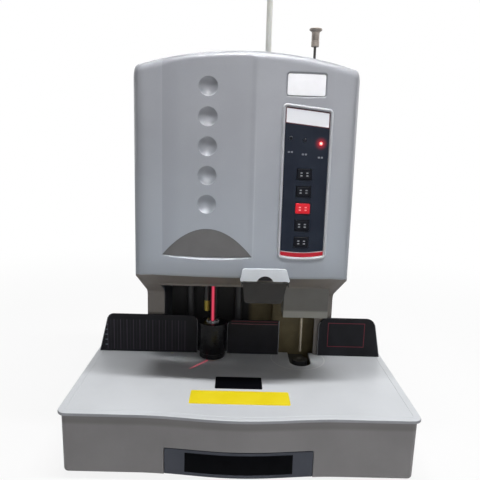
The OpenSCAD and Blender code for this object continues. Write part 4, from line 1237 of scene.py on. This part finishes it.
# Stage, light and camera
view = {"place": (-8.4, -697.5, 378.7), "pitch": 10.47, "roll": 1.54, "yaw": 0.36, "lens": 39, "sensor": 36}
lamps = {  # place, target, size across and along in metres, watts, and the grid's spread in degrees
    "overheadLamp": ((0.15, -0.2, 1.7), (0.15, -0.2, 0), (1.2, 0.08), 23),
    "frontLamp": ((0.2, -1.9, 0.85), (0, -0.08, 0.3), (1.2, 0.5), 4.3),
    "rearLamp": ((0.2, 2.0, 0.5), (0, 0.1, 0.25), (1.2, 0.6), 9),
    "leftLamp": ((-2.0, 0.9, 0.5), (0, 0.05, 0.25), (0.8, 0.6), 3),
    "rightLamp": ((2.0, 0.6, 0.5), (0, 0.05, 0.25), (0.8, 0.6), 6),
    "headLamp": ((0, -0.187, 0.538), (0, -0.087, 0.365), (0.25, 0.14), 0.094, 7),
    "edgeLamp": ((0.85, -1.05, 0.4), (-0.04, 0, 0.11), (0.08, 0.6), 1.2),
}
sky = {"ambient": 0.04, "floor": 12, "floorTone": 0.9, "floorGlow": 0.87, "glowFrom": 0.45, "glowTo": 1.3}


def aimCamera():
    pitch, roll, yaw = (math.radians(view[key]) for key in ("pitch", "roll", "yaw"))
    right = Vector((math.cos(yaw), -math.sin(yaw), 0))
    ahead = Vector((math.sin(yaw) * math.cos(pitch), math.cos(yaw) * math.cos(pitch), -math.sin(pitch)))
    down = ahead.cross(right)
    across = math.cos(roll) * right - math.sin(roll) * down
    below = math.sin(roll) * right + math.cos(roll) * down
    data = bpy.data.cameras.new("studioCamera")
    data.lens = view["lens"]
    data.sensor_width = view["sensor"]
    camera = bpy.data.objects.new("studioCamera", data)
    scene.collection.objects.link(camera)
    turn = Matrix((across, -below, -ahead)).transposed().to_4x4()
    camera.matrix_world = Matrix.Translation(Vector(view["place"]) * mm) @ turn
    scene.camera = camera


def hangLamp(name):
    place, target, size, power, *grid = lamps[name]
    data = bpy.data.lights.new(name, "AREA")
    data.shape = "RECTANGLE"
    data.size, data.size_y = size
    data.energy = power
    data.spread = math.radians(grid[0] if grid else 180)
    light = bpy.data.objects.new(name, data)
    light.location = place
    light.rotation_euler = (Vector(target) - Vector(place)).to_track_quat("-Z", "Y").to_euler()
    light.visible_camera = False
    scene.collection.objects.link(light)


def whiteFloor():
    selectNone()
    bpy.ops.mesh.primitive_plane_add(size=sky["floor"], location=(0, 0, 0))
    floor = named("studio_floor")
    skin = Finish("floorWhite", 0.9)
    skin.set("Base Color", (*[sky["floorTone"]] * 3, 1))
    rays = skin.spot.node("ShaderNodeLightPath", out="Is Camera Ray")
    x, y, z = skin.spot.axes()
    spread = (x * mm).far(y * mm).ramp(sky["glowFrom"], sky["glowTo"])
    share = sky["floorGlow"] + spread * (1 - sky["floorGlow"])
    glow = skin.spot.node("ShaderNodeEmission", None, {"Color": (1, 1, 1, 1), "Strength": 1.0})
    matt = Wire(skin.tree, skin.shader.outputs[0])
    mixed = skin.spot.node("ShaderNodeMixShader", None, {0: rays * share, 1: matt, 2: glow})
    skin.tree.links.new(mixed.socket, skin.tree.nodes["Material Output"].inputs["Surface"])
    paint(floor, skin)


def whiteSky():
    world = bpy.data.worlds.new("studioSky")
    scene.world = world
    world.use_nodes = True
    tree = world.node_tree
    backdrop = tree.nodes["Background"]
    rays = Wire(tree).node("ShaderNodeLightPath").socket.node.outputs
    kinds = ("Camera", "Glossy", "Transmission")
    camera, glossy, clear = (Wire(tree, rays["Is %s Ray" % kind]) for kind in kinds)
    strength = sky["ambient"] + (camera + glossy + clear > 0.5) * (1 - sky["ambient"])
    tree.links.new(strength.socket, backdrop.inputs["Strength"])
    backdrop.inputs["Color"].default_value = (1, 1, 1, 1)


whiteFloor()
whiteSky()
for name in lamps:
    hangLamp(name)
aimCamera()
scene.view_settings.view_transform = "Standard"

print("scene done")
